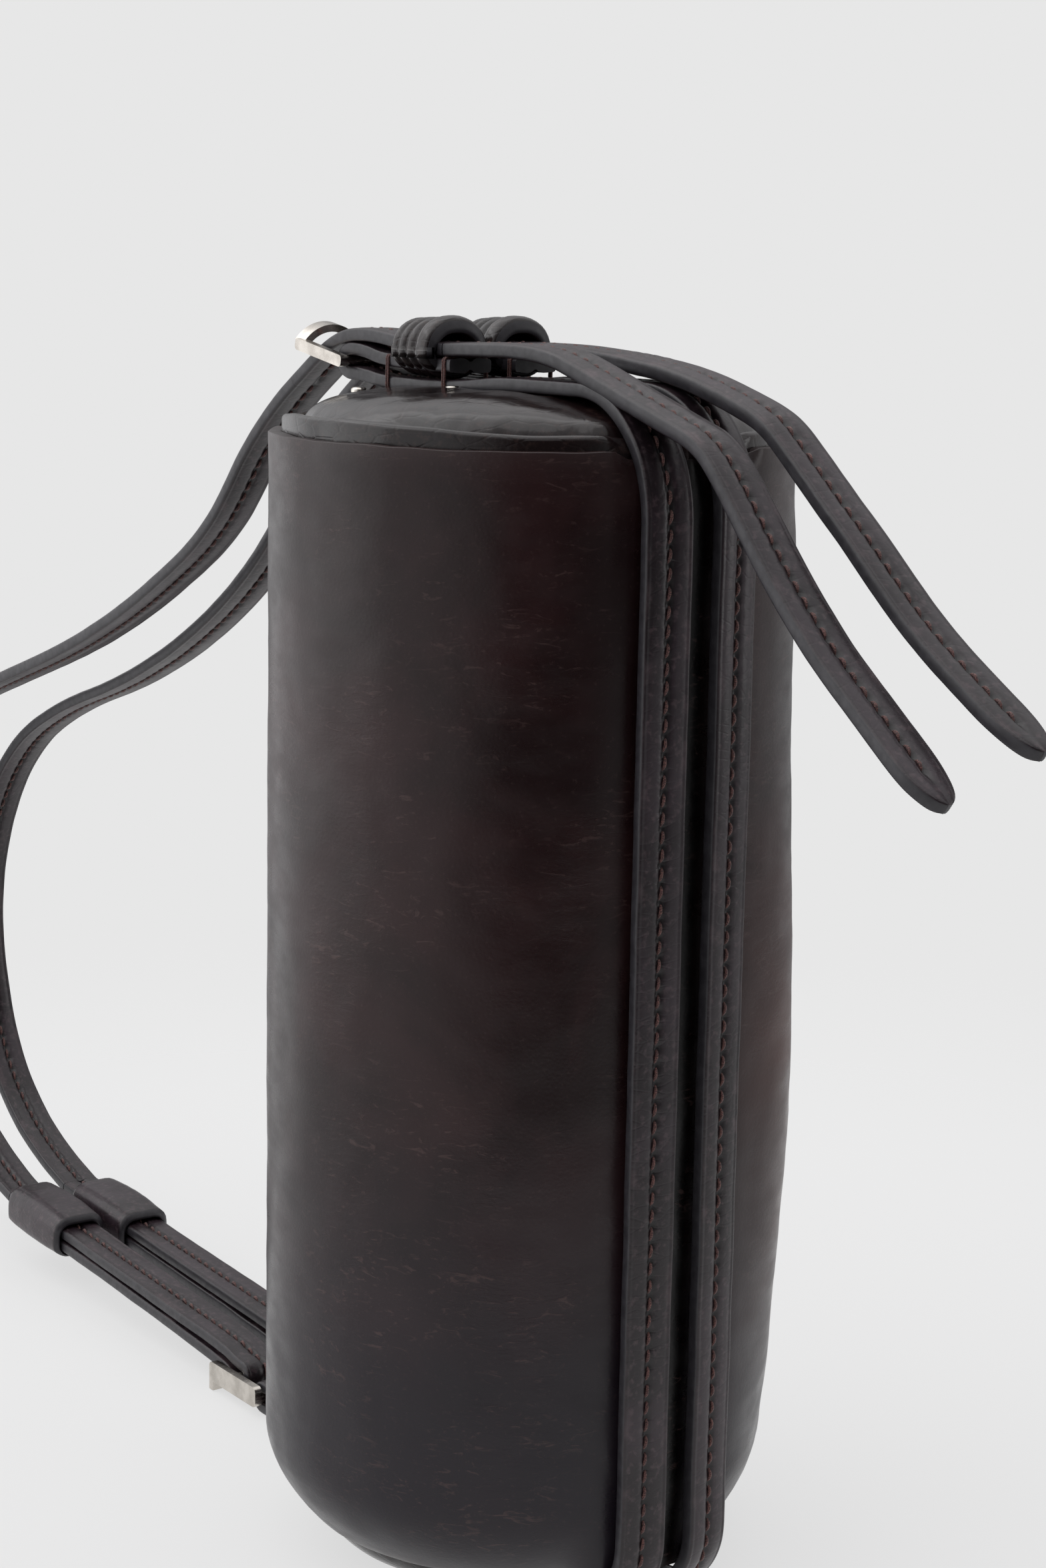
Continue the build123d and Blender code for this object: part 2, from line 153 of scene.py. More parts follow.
def attach(piece, body, slot, *nodes):
    """The piece rides on a body and stands for CAD nodes, which it hides; the slot is not used."""
    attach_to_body(piece, body)
    if nodes:
        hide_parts(*nodes)
    return piece


# ---- materials ----------------------------------------------------------------------------------
def srgb(red, green, blue):
    """Linear colour of an 8-bit sRGB one."""
    linear = []
    for value in (red, green, blue):
        share = value / 255
        linear.append(share / 12.92 if share <= 0.04045 else ((share + 0.055) / 1.055) ** 2.4)
    return (*linear, 1.0)


class Finish:
    """A procedural material. Its texture space is the part's frame, in metres."""

    def __init__(self, name):
        self.material = bpy.data.materials.new(name)
        self.material.use_nodes = True
        self.tree = self.material.node_tree
        self.shader = self.tree.nodes["Principled BSDF"]
        self.place = self.add("ShaderNodeTexCoord").outputs["Object"]

    def add(self, kind, inputs=None, **settings):
        made = self.tree.nodes.new(kind)
        for key, value in settings.items():
            setattr(made, key, value)
        for key, value in (inputs or {}).items():
            if isinstance(value, bpy.types.NodeSocket):
                self.tree.links.new(value, made.inputs[key])
            else:
                made.inputs[key].default_value = value
        return made

    def noise(self, size, detail=3.0, stretch=(1, 1, 1), roughness=0.55, distortion=0.0):
        """Noise with lumps of the given size in millimetres, drawn out along an axis."""
        spread = [1 / (size * MM * s) for s in stretch]
        mapping = self.add("ShaderNodeMapping", {"Vector": self.place, "Scale": spread})
        texture = self.add("ShaderNodeTexNoise", {
            "Vector": mapping.outputs[0], "Scale": 1.0, "Detail": detail,
            "Roughness": roughness, "Distortion": distortion})
        return texture.outputs["Fac"]

    def cells(self, size, feature="F1", stretch=(1, 1, 1)):
        """Distance inside pebble-like cells of the given size in millimetres."""
        spread = [1 / (size * MM * s) for s in stretch]
        mapping = self.add("ShaderNodeMapping", {"Vector": self.place, "Scale": spread})
        texture = self.add(
            "ShaderNodeTexVoronoi", {"Vector": mapping.outputs[0], "Scale": 1.0}, feature=feature)
        return texture.outputs["Distance"]

    def span(self, value, low, high, to_low=0.0, to_high=1.0):
        return self.add("ShaderNodeMapRange", {
            "Value": value, "From Min": low, "From Max": high,
            "To Min": to_low, "To Max": to_high}, interpolation_type="SMOOTHSTEP").outputs[0]

    def math(self, operation, a, b=0.0):
        made = self.add("ShaderNodeMath", operation=operation)
        for index, value in enumerate((a, b)):
            if isinstance(value, bpy.types.NodeSocket):
                self.tree.links.new(value, made.inputs[index])
            else:
                made.inputs[index].default_value = value
        return made.outputs[0]

    def mix(self, share, first, second):
        """One colour turning into another."""
        made = self.add("ShaderNodeMix", data_type="RGBA")
        for socket, value in (("Factor_Float", share), ("A_Color", first), ("B_Color", second)):
            target = next(i for i in made.inputs if i.identifier == socket)
            if isinstance(value, bpy.types.NodeSocket):
                self.tree.links.new(value, target)
            else:
                target.default_value = value
        return next(o for o in made.outputs if o.identifier == "Result_Color")

    def attribute(self, name):
        """A share from 0 to 1 painted on the mesh."""
        return self.add("ShaderNodeAttribute", attribute_name=name).outputs["Fac"]

    def axis(self, index):
        """A place's X, Y or Z in metres."""
        return self.add("ShaderNodeSeparateXYZ", {"Vector": self.place}).outputs[index]

    def bump(self, height, depth, strength=1.0, under=None):
        """Relief of the given depth in millimetres."""
        inputs = {"Height": height, "Distance": depth * MM, "Strength": strength}
        if under:
            inputs["Normal"] = under
        return self.add("ShaderNodeBump", inputs).outputs[0]

    def set(self, **values):
        """Sets or links the shader's sockets: Base_Color stands for "Base Color"."""
        for key, value in values.items():
            socket = self.shader.inputs[key.replace("_", " ")]
            if isinstance(value, bpy.types.NodeSocket):
                self.tree.links.new(value, socket)
            else:
                socket.default_value = value
        return self


def leather(name, tones, gloss, grain, depth, coat=0.25, crease=0.06, worn=0.0, level=0.4):
    """Finished leather: cloudy tone, pebble grain, fine creases, worn and darkened edges, and painted
    shade in the sewn channel and stitch holes.
    """
    f = Finish(name)
    dark, mid, light = (srgb(*tone) for tone in tones)
    cloud = f.noise(34, 4.0, distortion=0.6)
    fleck = f.noise(1.6, 3.0)
    tone = f.mix(f.span(cloud, 0.38, 0.64), dark, mid)
    tone = f.mix(f.math("MULTIPLY", f.span(fleck, 0.5, 0.72), 0.35), tone, light)
    tone = f.mix(f.math("MULTIPLY", f.attribute("edge"), 0.62), tone, dark)
    # painted shade: the sewn channel and its stitch holes are darkened to near black
    tone = f.mix(f.attribute("stitch_hole_shade"), tone, srgb(6, 3, 4))
    if worn:
        rubbed = f.math("MULTIPLY", f.span(f.noise(9, 4.0), 0.5, 0.68), f.attribute("rub"))
        tone = f.mix(f.math("MULTIPLY", rubbed, worn), tone, light)
    pebble = f.cells(grain, "SMOOTH_F1")
    fine = f.noise(grain * 0.45, 2.0)
    lines = f.cells(grain * 5.5, "DISTANCE_TO_EDGE", (1.6, 1.6, 0.7))
    lines = f.span(lines, 0.0, 0.09)
    relief = f.bump(pebble, depth, 0.6)
    relief = f.bump(fine, depth * 0.5, 0.6, relief)
    relief = f.bump(lines, crease, 0.5, relief)
    shine = f.span(f.noise(9, 2.0), 0.32, 0.7, gloss - 0.03, gloss + 0.05)
    f.set(Base_Color=tone, Roughness=shine, Normal=relief, Coat_Weight=coat,
          Coat_Roughness=0.1, Specular_IOR_Level=level)
    return f.material


def barrel_finish():
    """Smooth burnished leather, near black, with red-brown clouds low on the right side that are partly
    burnish and partly painted light, and painted shade between the harness straps.
    """
    f = Finish("barrel_leather")
    x, y, z = (f.axis(name) for name in "XYZ")
    cloud = f.noise(46, 4.0, distortion=0.8)
    tone = f.mix(f.span(cloud, 0.4, 0.66), srgb(26, 12, 13), srgb(40, 23, 24))
    streak = f.noise(26, 3.0, (1.2, 1.2, 1.0), 0.5, 0.4)
    # The red-brown patch low on the right is partly the leather's burnish and partly painted light: it
    # sits where light from the right falls.
    right = f.math("MULTIPLY", f.span(x, 0.008, 0.05), f.span(y, 0.034, -0.05))
    low = f.math("MULTIPLY", f.span(z, 0.03, 0.105), f.span(z, 0.2, 0.125))
    burnish_and_painted_light = f.math("MULTIPLY", right, low)
    burnish_and_painted_light = f.math("MULTIPLY", burnish_and_painted_light, f.span(streak, 0.34, 0.66, 0.3, 0.7))
    warm = f.math("MULTIPLY", f.span(f.noise(30, 4.0, distortion=0.4), 0.46, 0.74), 0.22)
    tone = f.mix(warm, tone, srgb(58, 34, 34))
    tone = f.mix(f.span(z, 0.14, 0.03, 0.0, 0.8), tone, srgb(30, 27, 34))
    # partly painted light: the lower right side is lightened to red-brown
    tone = f.mix(burnish_and_painted_light, tone, srgb(82, 44, 35))
    # painted shade: the strip of wall between the harness straps is darkened to near black
    tone = f.mix(f.attribute("strap_gap_shade"), tone, srgb(3, 2, 2))
    fleck = f.span(f.noise(0.9, 2.0), 0.6, 0.78)
    tone = f.mix(f.math("MULTIPLY", fleck, 0.2), tone, srgb(74, 58, 56))
    tone = f.mix(f.math("MULTIPLY", f.attribute("edge"), 0.5), tone, srgb(50, 40, 40))
    pore = f.cells(0.75, "SMOOTH_F1")
    wrinkle = f.noise(3.4, 5.0, (1.7, 1.7, 0.5), 0.66, 1.4)
    patch = f.span(f.noise(30, 2.0), 0.42, 0.62)
    fold = f.math("MULTIPLY", f.span(wrinkle, 0.56, 0.68), patch)
    tone = f.mix(f.math("MULTIPLY", fold, 0.45), tone, srgb(78, 60, 58))
    relief = f.bump(pore, 0.035, 0.5)
    relief = f.bump(f.math("MULTIPLY", wrinkle, patch), 0.14, 0.5, relief)
    relief = f.bump(f.noise(24, 2.0, (1, 1, 1.6)), 0.5, 0.25, relief)
    shine = f.span(f.noise(8, 4.0, (1.6, 1.6, 0.7)), 0.3, 0.7, 0.25, 0.36)
    f.set(Base_Color=tone, Roughness=shine, Normal=relief, Specular_IOR_Level=0.32)
    return f.material


def edge_finish():
    """Painted and waxed cut edge of a strap."""
    f = Finish("strap_edge_paint")
    tone = f.mix(f.span(f.noise(3, 3.0), 0.35, 0.7), srgb(36, 34, 38), srgb(48, 46, 50))
    relief = f.bump(f.noise(3.4, 2.0), 0.05, 0.4)
    shine = f.span(f.noise(1.4, 2.0), 0.3, 0.7, 0.36, 0.48)
    f.set(Base_Color=tone, Roughness=shine, Normal=relief, Specular_IOR_Level=0.42)
    return f.material


def thread_finish(name, dark, light):
    """Waxed twisted thread."""
    f = Finish(name)
    twist = f.noise(0.42, 2.0, (1, 0.5, 0.5))
    tone = f.mix(f.span(twist, 0.4, 0.62), dark, light)
    f.set(Base_Color=tone, Roughness=f.span(twist, 0.3, 0.7, 0.5, 0.7),
          Normal=f.bump(twist, 0.12, 0.8), Specular_IOR_Level=0.35, Sheen_Weight=0.15)
    return f.material


def metal_finish(name, tone, worn, low, high):
    """Plated metal with soft scratches and slightly darker worn clouds."""
    f = Finish(name)
    cloud = f.noise(5, 4.0)
    colour = f.mix(f.span(cloud, 0.35, 0.7), tone, worn)
    scratch = f.noise(0.6, 3.0, (6, 0.35, 0.35))
    shine = f.span(scratch, 0.35, 0.7, low, high)
    relief = f.bump(scratch, 0.012, 0.4)
    relief = f.bump(cloud, 0.08, 0.25, relief)
    f.set(Base_Color=colour, Metallic=1.0, Roughness=shine, Normal=relief)
    return f.material


def woven_finish(name, dark, light, pitch, depth, diagonal=False):
    """Cloth woven in warp and weft of the given pitch in millimetres."""
    f = Finish(name)
    turn = (0.0, 0.0, 0.0) if not diagonal else (0.0, 0.785, 0.0)
    mapping = f.add("ShaderNodeMapping", {
        "Vector": f.place, "Rotation": turn, "Scale": [1 / (pitch * MM)] * 3})
    parts = f.add("ShaderNodeSeparateXYZ", {"Vector": mapping.outputs[0]})
    across = f.math("ADD", parts.outputs["X"], parts.outputs["Y"])
    warp = f.math("SINE", f.math("MULTIPLY", across, math.tau))
    weft = f.math("SINE", f.math("MULTIPLY", parts.outputs["Z"], math.tau))
    weave = f.math("MULTIPLY", warp, weft)
    slub = f.noise(2.2, 3.0, (1, 1, 4))
    tone = f.mix(f.span(weave, -0.8, 0.8), dark, light)
    tone = f.mix(f.math("MULTIPLY", f.span(slub, 0.45, 0.7), 0.4), tone, dark)
    relief = f.bump(weave, depth, 0.8)
    relief = f.bump(slub, depth * 0.6, 0.5, relief)
    f.set(Base_Color=tone, Roughness=f.span(slub, 0.3, 0.7, 0.72, 0.9), Normal=relief,
          Sheen_Weight=0.25, Specular_IOR_Level=0.25)
    return f.material


BARREL = barrel_finish()
END = leather("end_leather", ((17, 10, 11), (29, 19, 19), (62, 46, 42)), 0.19, 0.8, 0.035,
              coat=0.22, crease=0.06, level=0.34)
FACE = leather("strap_leather", ((26, 18, 22), (44, 34, 40), (92, 76, 80)), 0.36, 0.7, 0.03,
               coat=0.06, crease=0.04, worn=0.3, level=0.45)
EDGE = edge_finish()
THREAD = thread_finish("strap_thread", srgb(44, 23, 23), srgb(106, 70, 65))
SILVER = metal_finish("silver_hardware", srgb(214, 208, 200), srgb(186, 180, 172), 0.16, 0.3)
ZIP_METAL = metal_finish("zip_metal", srgb(196, 188, 176), srgb(142, 134, 124), 0.22, 0.4)
TAPE = woven_finish("zip_tape", srgb(14, 12, 13), srgb(38, 33, 35), 0.55, 0.12, diagonal=True)
LINING = woven_finish("lining_fabric", srgb(52, 42, 38), srgb(92, 78, 70), 0.4, 0.06)
BOARD = leather("stiffener_board", ((74, 66, 58), (98, 88, 78), (128, 116, 104)), 0.8, 0.5, 0.05,
                coat=0.0)


# ---- routes -------------------------------------------------------------------------------------
class Route:
    """A line read from a NURBS spline whose control points are (y, z) places at X = x."""

    def __init__(self, name, points, x, turned=False):
        curve = bpy.data.curves.new(name + "_line", "CURVE")
        curve.dimensions = "3D"
        curve.resolution_u = 24
        spline = curve.splines.new("NURBS")
        spline.points.add(len(points) - 1)
        for control, (y, z) in zip(spline.points, points):
            control.co = (x * MM, y * MM, z * MM, 1.0)
        spline.order_u = 3
        spline.use_endpoint_u = True
        line = bpy.data.objects.new(name + "_line", curve)
        bpy.context.scene.collection.objects.link(line)
        bpy.context.view_layer.update()
        mesh = bpy.data.meshes.new_from_object(line)
        self.points = [v.co / MM for v in mesh.vertices]
        bpy.data.objects.remove(line)
        bpy.data.meshes.remove(mesh)
        self.marks = [0.0]
        for before, after in zip(self.points, self.points[1:]):
            self.marks.append(self.marks[-1] + (after - before).length)
        self.length = self.marks[-1]
        self.turned = turned

    def at(self, distance):
        """Point, way on, across and outward directions at a distance along the line."""
        distance = min(self.length, max(0.0, distance))
        index = next((i for i, mark in enumerate(self.marks[1:]) if mark >= distance), -1)
        index = min(index, len(self.points) - 2) if index >= 0 else len(self.points) - 2
        before, after = self.points[index], self.points[index + 1]
        run = self.marks[index + 1] - self.marks[index]
        share = (distance - self.marks[index]) / run if run else 0.0
        tangents = []
        for place in (index, index + 1):
            low, high = max(place - 1, 0), min(place + 1, len(self.points) - 1)
            tangents.append((self.points[high] - self.points[low]).normalized())
        way = tangents[0].lerp(tangents[1], share).normalized()
        across = Vector((1, 0, 0))
        if self.turned:
            # on the barrel the strap lies flat on the round wall
            outward = way.cross(across)
            lean = math.asin(before.x / 61.75) * smooth(0.25, 0.95, -outward.y)
            across = Matrix.Rotation(lean, 3, "Z") @ across
        outward = way.cross(across).normalized()
        return before.lerp(after, share), way, across, outward

    def rows(self, step, low=0.0, high=None):
        """Distances from low to high, about a step apart."""
        high = self.length if high is None else high
        count = max(2, round((high - low) / step))
        return [low + (high - low) * i / count for i in range(count + 1)]


# ---- straps -------------------------------------------------------------------------------------
# Half of a strap's section from the cut edge to the stitched middle: across, out, channel share.
HALF_SECTION = [
    (5.73, 0.86, 0.0), (5.58, 1.28, 0.0), (5.28, 1.50, 0.0), (4.9, 1.56, 0.0), (4.62, 1.47, 0.0),
    (4.3, 1.57, 0.0), (3.4, 1.66, 0.0), (2.3, 1.70, 0.0), (1.35, 1.66, 0.1), (0.8, 1.60, 0.45),
    (0.38, 1.56, 0.9)]
EDGE_ROWS = 2                     # section points that belong to the painted edge


def strap_section():
    """Closed section: across and out as shares of a full strap, channel share, painted or not."""
    top = [(u, v, c, i < EDGE_ROWS) for i, (u, v, c) in enumerate(HALF_SECTION)]
    top.append((0.0, 1.54, 1.0, False))
    top += [(-u, v, c, p) for u, v, c, p in reversed(top[:-1])]
    low = [(u, -v, c, p) for u, v, c, p in reversed(top)]
    return [(5.76, 0.0, 0.0, True)] + top + [(-5.76, 0.0, 0.0, True)] + low


def bullet(distance, length):
    """Width share of a bullet-shaped tip, by distance from its point."""
    if distance >= length:
        return 1.0
    return max(0.1, math.sqrt(1 - (1 - max(0.0, distance) / length) ** 2.3))


class Strap:
    """What one strap looks like along its route."""

    def __init__(self, name, route, width=STRAP_W, thick=STRAP_T, tips=(0.0, 0.0),
                 stitched=None, puff=None, step=0.9, seed=1.0):
        self.name, self.route = name, route
        self.wide, self.deep = width / STRAP_W, thick / STRAP_T
        self.tips = tips
        self.stitched = stitched or (0.0, route.length)
        self.puff = puff or (lambda distance: 0.0)
        self.step, self.seed = step, seed

    def width_share(self, distance):
        start, end = self.tips
        share = 1.0
        if start:
            share = min(share, bullet(distance, start))
        if end:
            share = min(share, bullet(self.route.length - distance, end))
        return share

    def channel(self, distance):
        """Depth of the sewn channel, deepest at each hole."""
        if not self.stitched[0] - 1 <= distance <= self.stitched[1] + 1:
            return 0.0
        ends = min(distance - self.stitched[0] + 1, self.stitched[1] + 1 - distance)
        depth = 0.35 + 0.4 * self.puff(distance) + 0.5 * self.hole(distance)
        return depth * smooth(0.0, 1.5, ends)

    def hole(self, distance):
        """Nearness to a stitch hole, 1 in its middle."""
        offset = (distance + STITCH / 2) % STITCH - STITCH / 2
        return math.exp(-(offset / 0.75) ** 2)

    def surface(self, distance, side):
        """Point in the channel's floor, outward and across directions, on one face."""
        point, way, across, outward = self.route.at(distance)
        rise = (1.54 - self.channel(distance) + 0.55 * self.puff(distance)) * self.deep
        return point + outward * rise * side, way, across, outward * side

    def build(self):
        """The strap's mesh, with painted edges in the second material."""
        section = strap_section()
        verts, edge_shares, rubs, stitch_hole_shades = [], [], [], []
        rows = self.route.rows(self.step)
        for tip, end in ((self.tips[0], 0), (self.tips[1], 1)):
            if tip:
                close = [tip * share for share in (0.01, 0.03, 0.06, 0.1)]
                rows += [self.route.length - d if end else d for d in close]
        rows = sorted(set(rows))
        for distance in rows:
            point, way, across, outward = self.route.at(distance)
            share = self.width_share(distance)
            puff = self.puff(distance)
            dent = self.channel(distance)
            flat = 0.72 + 0.28 * smooth(0.0, 0.6, share)
            free = smooth(0.0, 8.0, min(distance, self.route.length - distance))
            sway = 0.22 * free * rough((distance, 0, 0), 26, self.seed)
            for u, v, c, painted in section:
                side = 1 if v > 0 else -1
                u_now = u * self.wide * share
                crown = puff * 0.55 * (1 - (u / 5.76) ** 2) * (0 if painted else 1)
                v_now = v * self.deep * flat + side * (crown - c * dent) * share
                spot = point + across * u_now + outward * v_now
                lump = 0.05 * free * rough(spot, 7.0, self.seed + 3, 2)
                if not painted:
                    folds = rough((distance * 1.9, u * 0.9, side * 9), 3.2, self.seed + 5, 2)
                    lump += (0.03 * free + 0.2 * puff) * folds * smooth(5.2, 1.0, abs(u))
                spot += outward * side * lump + across * sway
                verts.append(on_floor(spot))
                near_edge = smooth(4.2, 5.3, abs(u))
                near_seam = smooth(1.5, 0.3, abs(u)) * (1 if dent else 0)
                edge_shares.append(max(near_edge, near_seam))
                # painted shade along the sewn channel, darkest at each stitch hole
                stitch_hole_shades.append(near_seam * (0.35 + 0.65 * self.hole(distance)))
                rubs.append(smooth(3.0, 4.8, abs(u)) * smooth(5.6, 5.2, abs(u)) + 0.4 * puff)
        count = len(section)
        rings = [verts[i:i + count] for i in range(0, len(verts), count)]
        faces = joined_rings(rings)
        slots = []
        for _ in range(len(rings) - 1):
            for j in range(count):
                both = section[j][3] and section[(j + 1) % count][3]
                slots.append(1 if both else 0)
        last = len(verts) - count
        faces += [tuple(range(count)), tuple(range(last, last + count))]
        slots += [1, 1]
        made = mesh_object(self.name, verts, faces, [FACE, EDGE], slots)
        made.data.set_sharp_from_angle(angle=math.radians(60))
        for label, values in (("edge", edge_shares), ("rub", rubs), ("stitch_hole_shade", stitch_hole_shades)):
            made.data.attributes.new(label, "FLOAT", "POINT").data.foreach_set("value", values)
        return made

    def stitches(self, faces=(1, -1)):
        """One mesh of every stitch: short arcs of thread that dip into the holes."""
        start, end = self.stitched
        first = math.ceil(start / STITCH)
        verts, quads = [], []
        index = first
        while (index + 1) * STITCH <= end:
            hole = index * STITCH
            for side in faces:
                thread_arc(self, hole, side, verts, quads)
            index += 1
        return mesh_object(self.name + "_thread", verts, quads, [THREAD])


THREAD_SIDES = 6


def thread_arc(strap, hole, side, verts, quads):
    """Adds one stitch: a tapered tube from hole to hole, slanted a little across the seam."""
    steps = 6
    first = len(verts)
    slant = 0.26 if side > 0 else -0.26
    size = min(1.0, 0.3 + 0.7 * strap.deep)
    for i in range(steps + 1):
        share = i / steps
        along = hole + 0.35 + (STITCH - 0.7) * share
        point, way, across, outward = strap.surface(along, side)
        hump = math.sin(math.pi * share)
        radius = (0.2 + 0.22 * hump ** 0.5) * size
        middle = point + outward * (0.42 * hump - 0.14) * size
        middle += across * slant * size * (1 - 2 * share)
        middle += across * 0.07 * rough((hole, side, 3), 2.0)
        for j in range(THREAD_SIDES):
            angle = math.tau * j / THREAD_SIDES
            spot = middle + (across * math.cos(angle) + outward * math.sin(angle)) * radius
            verts.append(on_floor(spot))
    for i in range(steps):
        a, b = first + i * THREAD_SIDES, first + (i + 1) * THREAD_SIDES
        for j in range(THREAD_SIDES):
            k = (j + 1) % THREAD_SIDES
            quads.append((a + j, a + k, b + k, b + j))
    quads.append(tuple(first + j for j in range(THREAD_SIDES)))
    last = first + steps * THREAD_SIDES
    quads.append(tuple(last + j for j in range(THREAD_SIDES)))


# ---- camera, before the free straps ---------------------------------------------------------------
TURN = math.radians(36.0)         # the camera's heading, from +Y towards +X
TILT = 0.177                      # it looks down by this angle, in radians
ROLL = 0.0194
camera = bpy.data.objects.new("camera", bpy.data.cameras.new("camera"))
bpy.context.scene.collection.objects.link(camera)
bpy.context.scene.camera = camera
camera.data.lens, camera.data.sensor_width = 66.75, 36.0
camera.data.clip_start, camera.data.clip_end = 0.02, 30.0
ahead = Vector((math.sin(TURN) * math.cos(TILT), math.cos(TURN) * math.cos(TILT), -math.sin(TILT)))
level = Vector((math.cos(TURN), -math.sin(TURN), 0.0))
upward = level.cross(ahead)
right_way = level * math.cos(ROLL) + upward * math.sin(ROLL)
up_way = upward * math.cos(ROLL) - level * math.sin(ROLL)
pose = Matrix((right_way, up_way, -ahead)).transposed().to_4x4()
pose.translation = Vector((-0.3895, -0.5349, 0.301))
camera.matrix_world = pose

# ---- shoulder straps: the two free loops -----------------------------------------------------------
for name, side in SIDES.items():
    x = side * STRAP_X
    route = Route(f"loop_{name}", LOOP_ROUTE[name], x)
    loop = Strap(f"shoulder_strap_loop_{name}", route, step=0.9, seed=20 + side)
    piece = attach(loop.build(), "bag", "strap_leather", f"shoulder_strap_{name}")
    thread = attach(loop.stitches(), "bag", "strap_leather")

    head = Strap(f"strap_arch_{name}", Route(f"head_{name}", HEAD_ROUTE, x), seed=30 + side)
    attach(head.build(), "bag", "strap_leather", f"strap_head_{name}")
    attach(head.stitches(), "bag", "strap_leather")

    leg = Strap(f"doubled_strap_{name}", Route(f"leg_{name}", LEG_ROUTE, x), step=1.1,
                seed=40 + side)
    attach(leg.build(), "bag", "strap_leather", f"strap_leg_{name}")
    attach(leg.stitches(), "bag", "strap_leather")

    route = Route(f"tongue_{name}", TONGUE_ROUTE[name], x)
    knot = 91.0                   # puffed and creased before this distance, flat after it
    tongue = Strap(
        f"strap_end_{name}", route, tips=(0.0, 15.0), step=0.8, seed=50 + side,
        stitched=(2.0, route.length - STITCH_INSET),
        puff=lambda d: smooth(20.0, 45.0, d) * smooth(knot + 6, knot - 8, d))
    for piece in (tongue.build(), tongue.stitches()):
        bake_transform(piece)
        if not piece.name.endswith("_thread"):
            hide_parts(f"strap_tongue_{name}")

# ---- harness straps --------------------------------------------------------------------------------
for name, side in SIDES.items():
    route = Route(f"rail_{name}", RAIL_ROUTE, side * STRAP_X, turned=True)
    rail = Strap(f"harness_rail_{name}", route, step=0.9, seed=60 + side)
    attach(rail.build(), "bag", "strap_leather", f"harness_strap_{name}")
    attach(rail.stitches(), "bag", "strap_leather")


# ---- barrel and ends --------------------------------------------------------------------------------
def pressed(point):
    """A place on the barrel or its ends, moved just under the harness straps that press on it."""
    x, y, z = point
    share = smooth(20.5, 15.6, abs(x)) * (1 - 0.25 * smooth(3.2, 0.6, abs(x)))
    if share == 0.0:
        return Vector(point)
    for middle_y, middle_z, reach in (RIM_ARC, FOOT_ARC):
        above = z > middle_z if middle_z > 100 else z < middle_z
        if y < middle_y and above:
            dy, dz = y - middle_y, z - middle_z
            away = math.hypot(dy, dz)
            if away > reach:
                keep = 1 + (reach / away - 1) * share
                y, z = middle_y + dy * keep, middle_z + dz * keep
    if z < 3.35 and y > FOOT_ARC[0]:
        z += (3.35 - z) * share
    return Vector((x, y, z))


def under_straps(point):
    """A place on the upper cushion, pressed down by the straps that lie across it."""
    x, y, z = point
    share = smooth(17.0, 15.0, abs(x)) * smooth(1.6, 3.4, abs(x))
    limit = 273.0 - 1.65 * smooth(-8.0, 8.0, y) + 1.6 * smooth(40.0, 50.0, y)
    if z > limit:
        z += (limit - z) * share
    return pressed((x, y, z))


def arc_offsets():
    """Distances round the barrel from the zip's middle: close together near the slit."""
    near = [float(i) for i in range(-16, 17)]
    around = math.tau * BODY_R
    rest = 172
    step = (around - 32) / rest
    return near + [16 + step * i for i in range(1, rest)]


def slit_narrowing(z):
    """Width share of the slit at a height, which rounds its two ends."""
    near_end = min(z - SLIT_LOW, SLIT_HIGH - z)
    if near_end >= 5 or near_end < -6:
        return 1.0
    if near_end < 0:
        return 0.45 + 0.55 * smooth(0.0, 6.0, -near_end)
    return 0.45 + 0.55 * math.sqrt(1 - (1 - near_end / 5) ** 2)


def slotted_wall(name, radius, rows, shape, material, thick):
    """A round wall with the zip's slit left out, given its thickness inwards."""
    offsets = arc_offsets()
    verts, faces = [], []
    for z in rows:
        narrow = slit_narrowing(z)
        for offset in offsets:
            share = narrow + (1 - narrow) * smooth(SLIT_HALF, 16, abs(offset))
            angle = math.pi / 2 - offset * share / BODY_R
            verts.append(shape(Vector((radius * math.cos(angle), radius * math.sin(angle), z))))
    count = len(offsets)
    for row in range(len(rows) - 1):
        in_slit_row = SLIT_LOW - 0.01 <= rows[row] and rows[row + 1] <= SLIT_HIGH + 0.01
        for j in range(count):
            k = (j + 1) % count
            middle = offsets[j] + 0.5
            if in_slit_row and abs(middle) < SLIT_HALF:
                continue
            faces.append((row * count + j, row * count + k,
                          (row + 1) * count + k, (row + 1) * count + j))
    wall = mesh_object(name, verts, faces, [material])
    solid = wall.modifiers.new("thickness", "SOLIDIFY")
    solid.thickness, solid.offset = thick * MM, -1.0
    return wall


def barrel_rows():
    """Heights of the barrel's rows, with one on each end of the slit."""
    rows = [BODY_LOW + rise for rise in (-2.4, -1.2, 0.0, 1.6, 3.4, 5.4, 7.6)]
    rows += [BODY_LOW + 10.0 + 1.86 * i for i in range(7)]
    rows += [SLIT_LOW + i for i in range(0, 6)]
    steps = 88
    rows += [SLIT_LOW + 5 + (SLIT_HIGH - SLIT_LOW - 10) * i / steps for i in range(1, steps)]
    rows += [SLIT_HIGH - 5 + i for i in range(0, 6)]
    rows += [250.2, 252.4, 254.6, 256.8, 259.0, 261.0, BODY_HIGH]
    return rows


def foot_roll(x, y, z):
    """How far the wall rolls inwards near its lower edge, less so behind the harness straps."""
    held = 0.7 * smooth(24, 15, abs(x)) if y < 0 else 0.0
    return 7.5 * (1 - held) * max(0.0, (BODY_LOW + 17.0 - z) / 17.0) ** 2


def side_bulge(x, y, z):
    """The soft wall's swelling between the straps and the side away from the zip."""
    angle = math.degrees(math.atan2(y, x))
    share = smooth(-74, -46, angle) * smooth(42, -14, angle)
    if share == 0.0:
        return 0.0
    belly = 3.7 * math.exp(-((z - 116) / 54) ** 2)
    return share * (belly + smooth(120, 180, z) * smooth(256, 232, z) - 1.5 * smooth(52, 20, z))


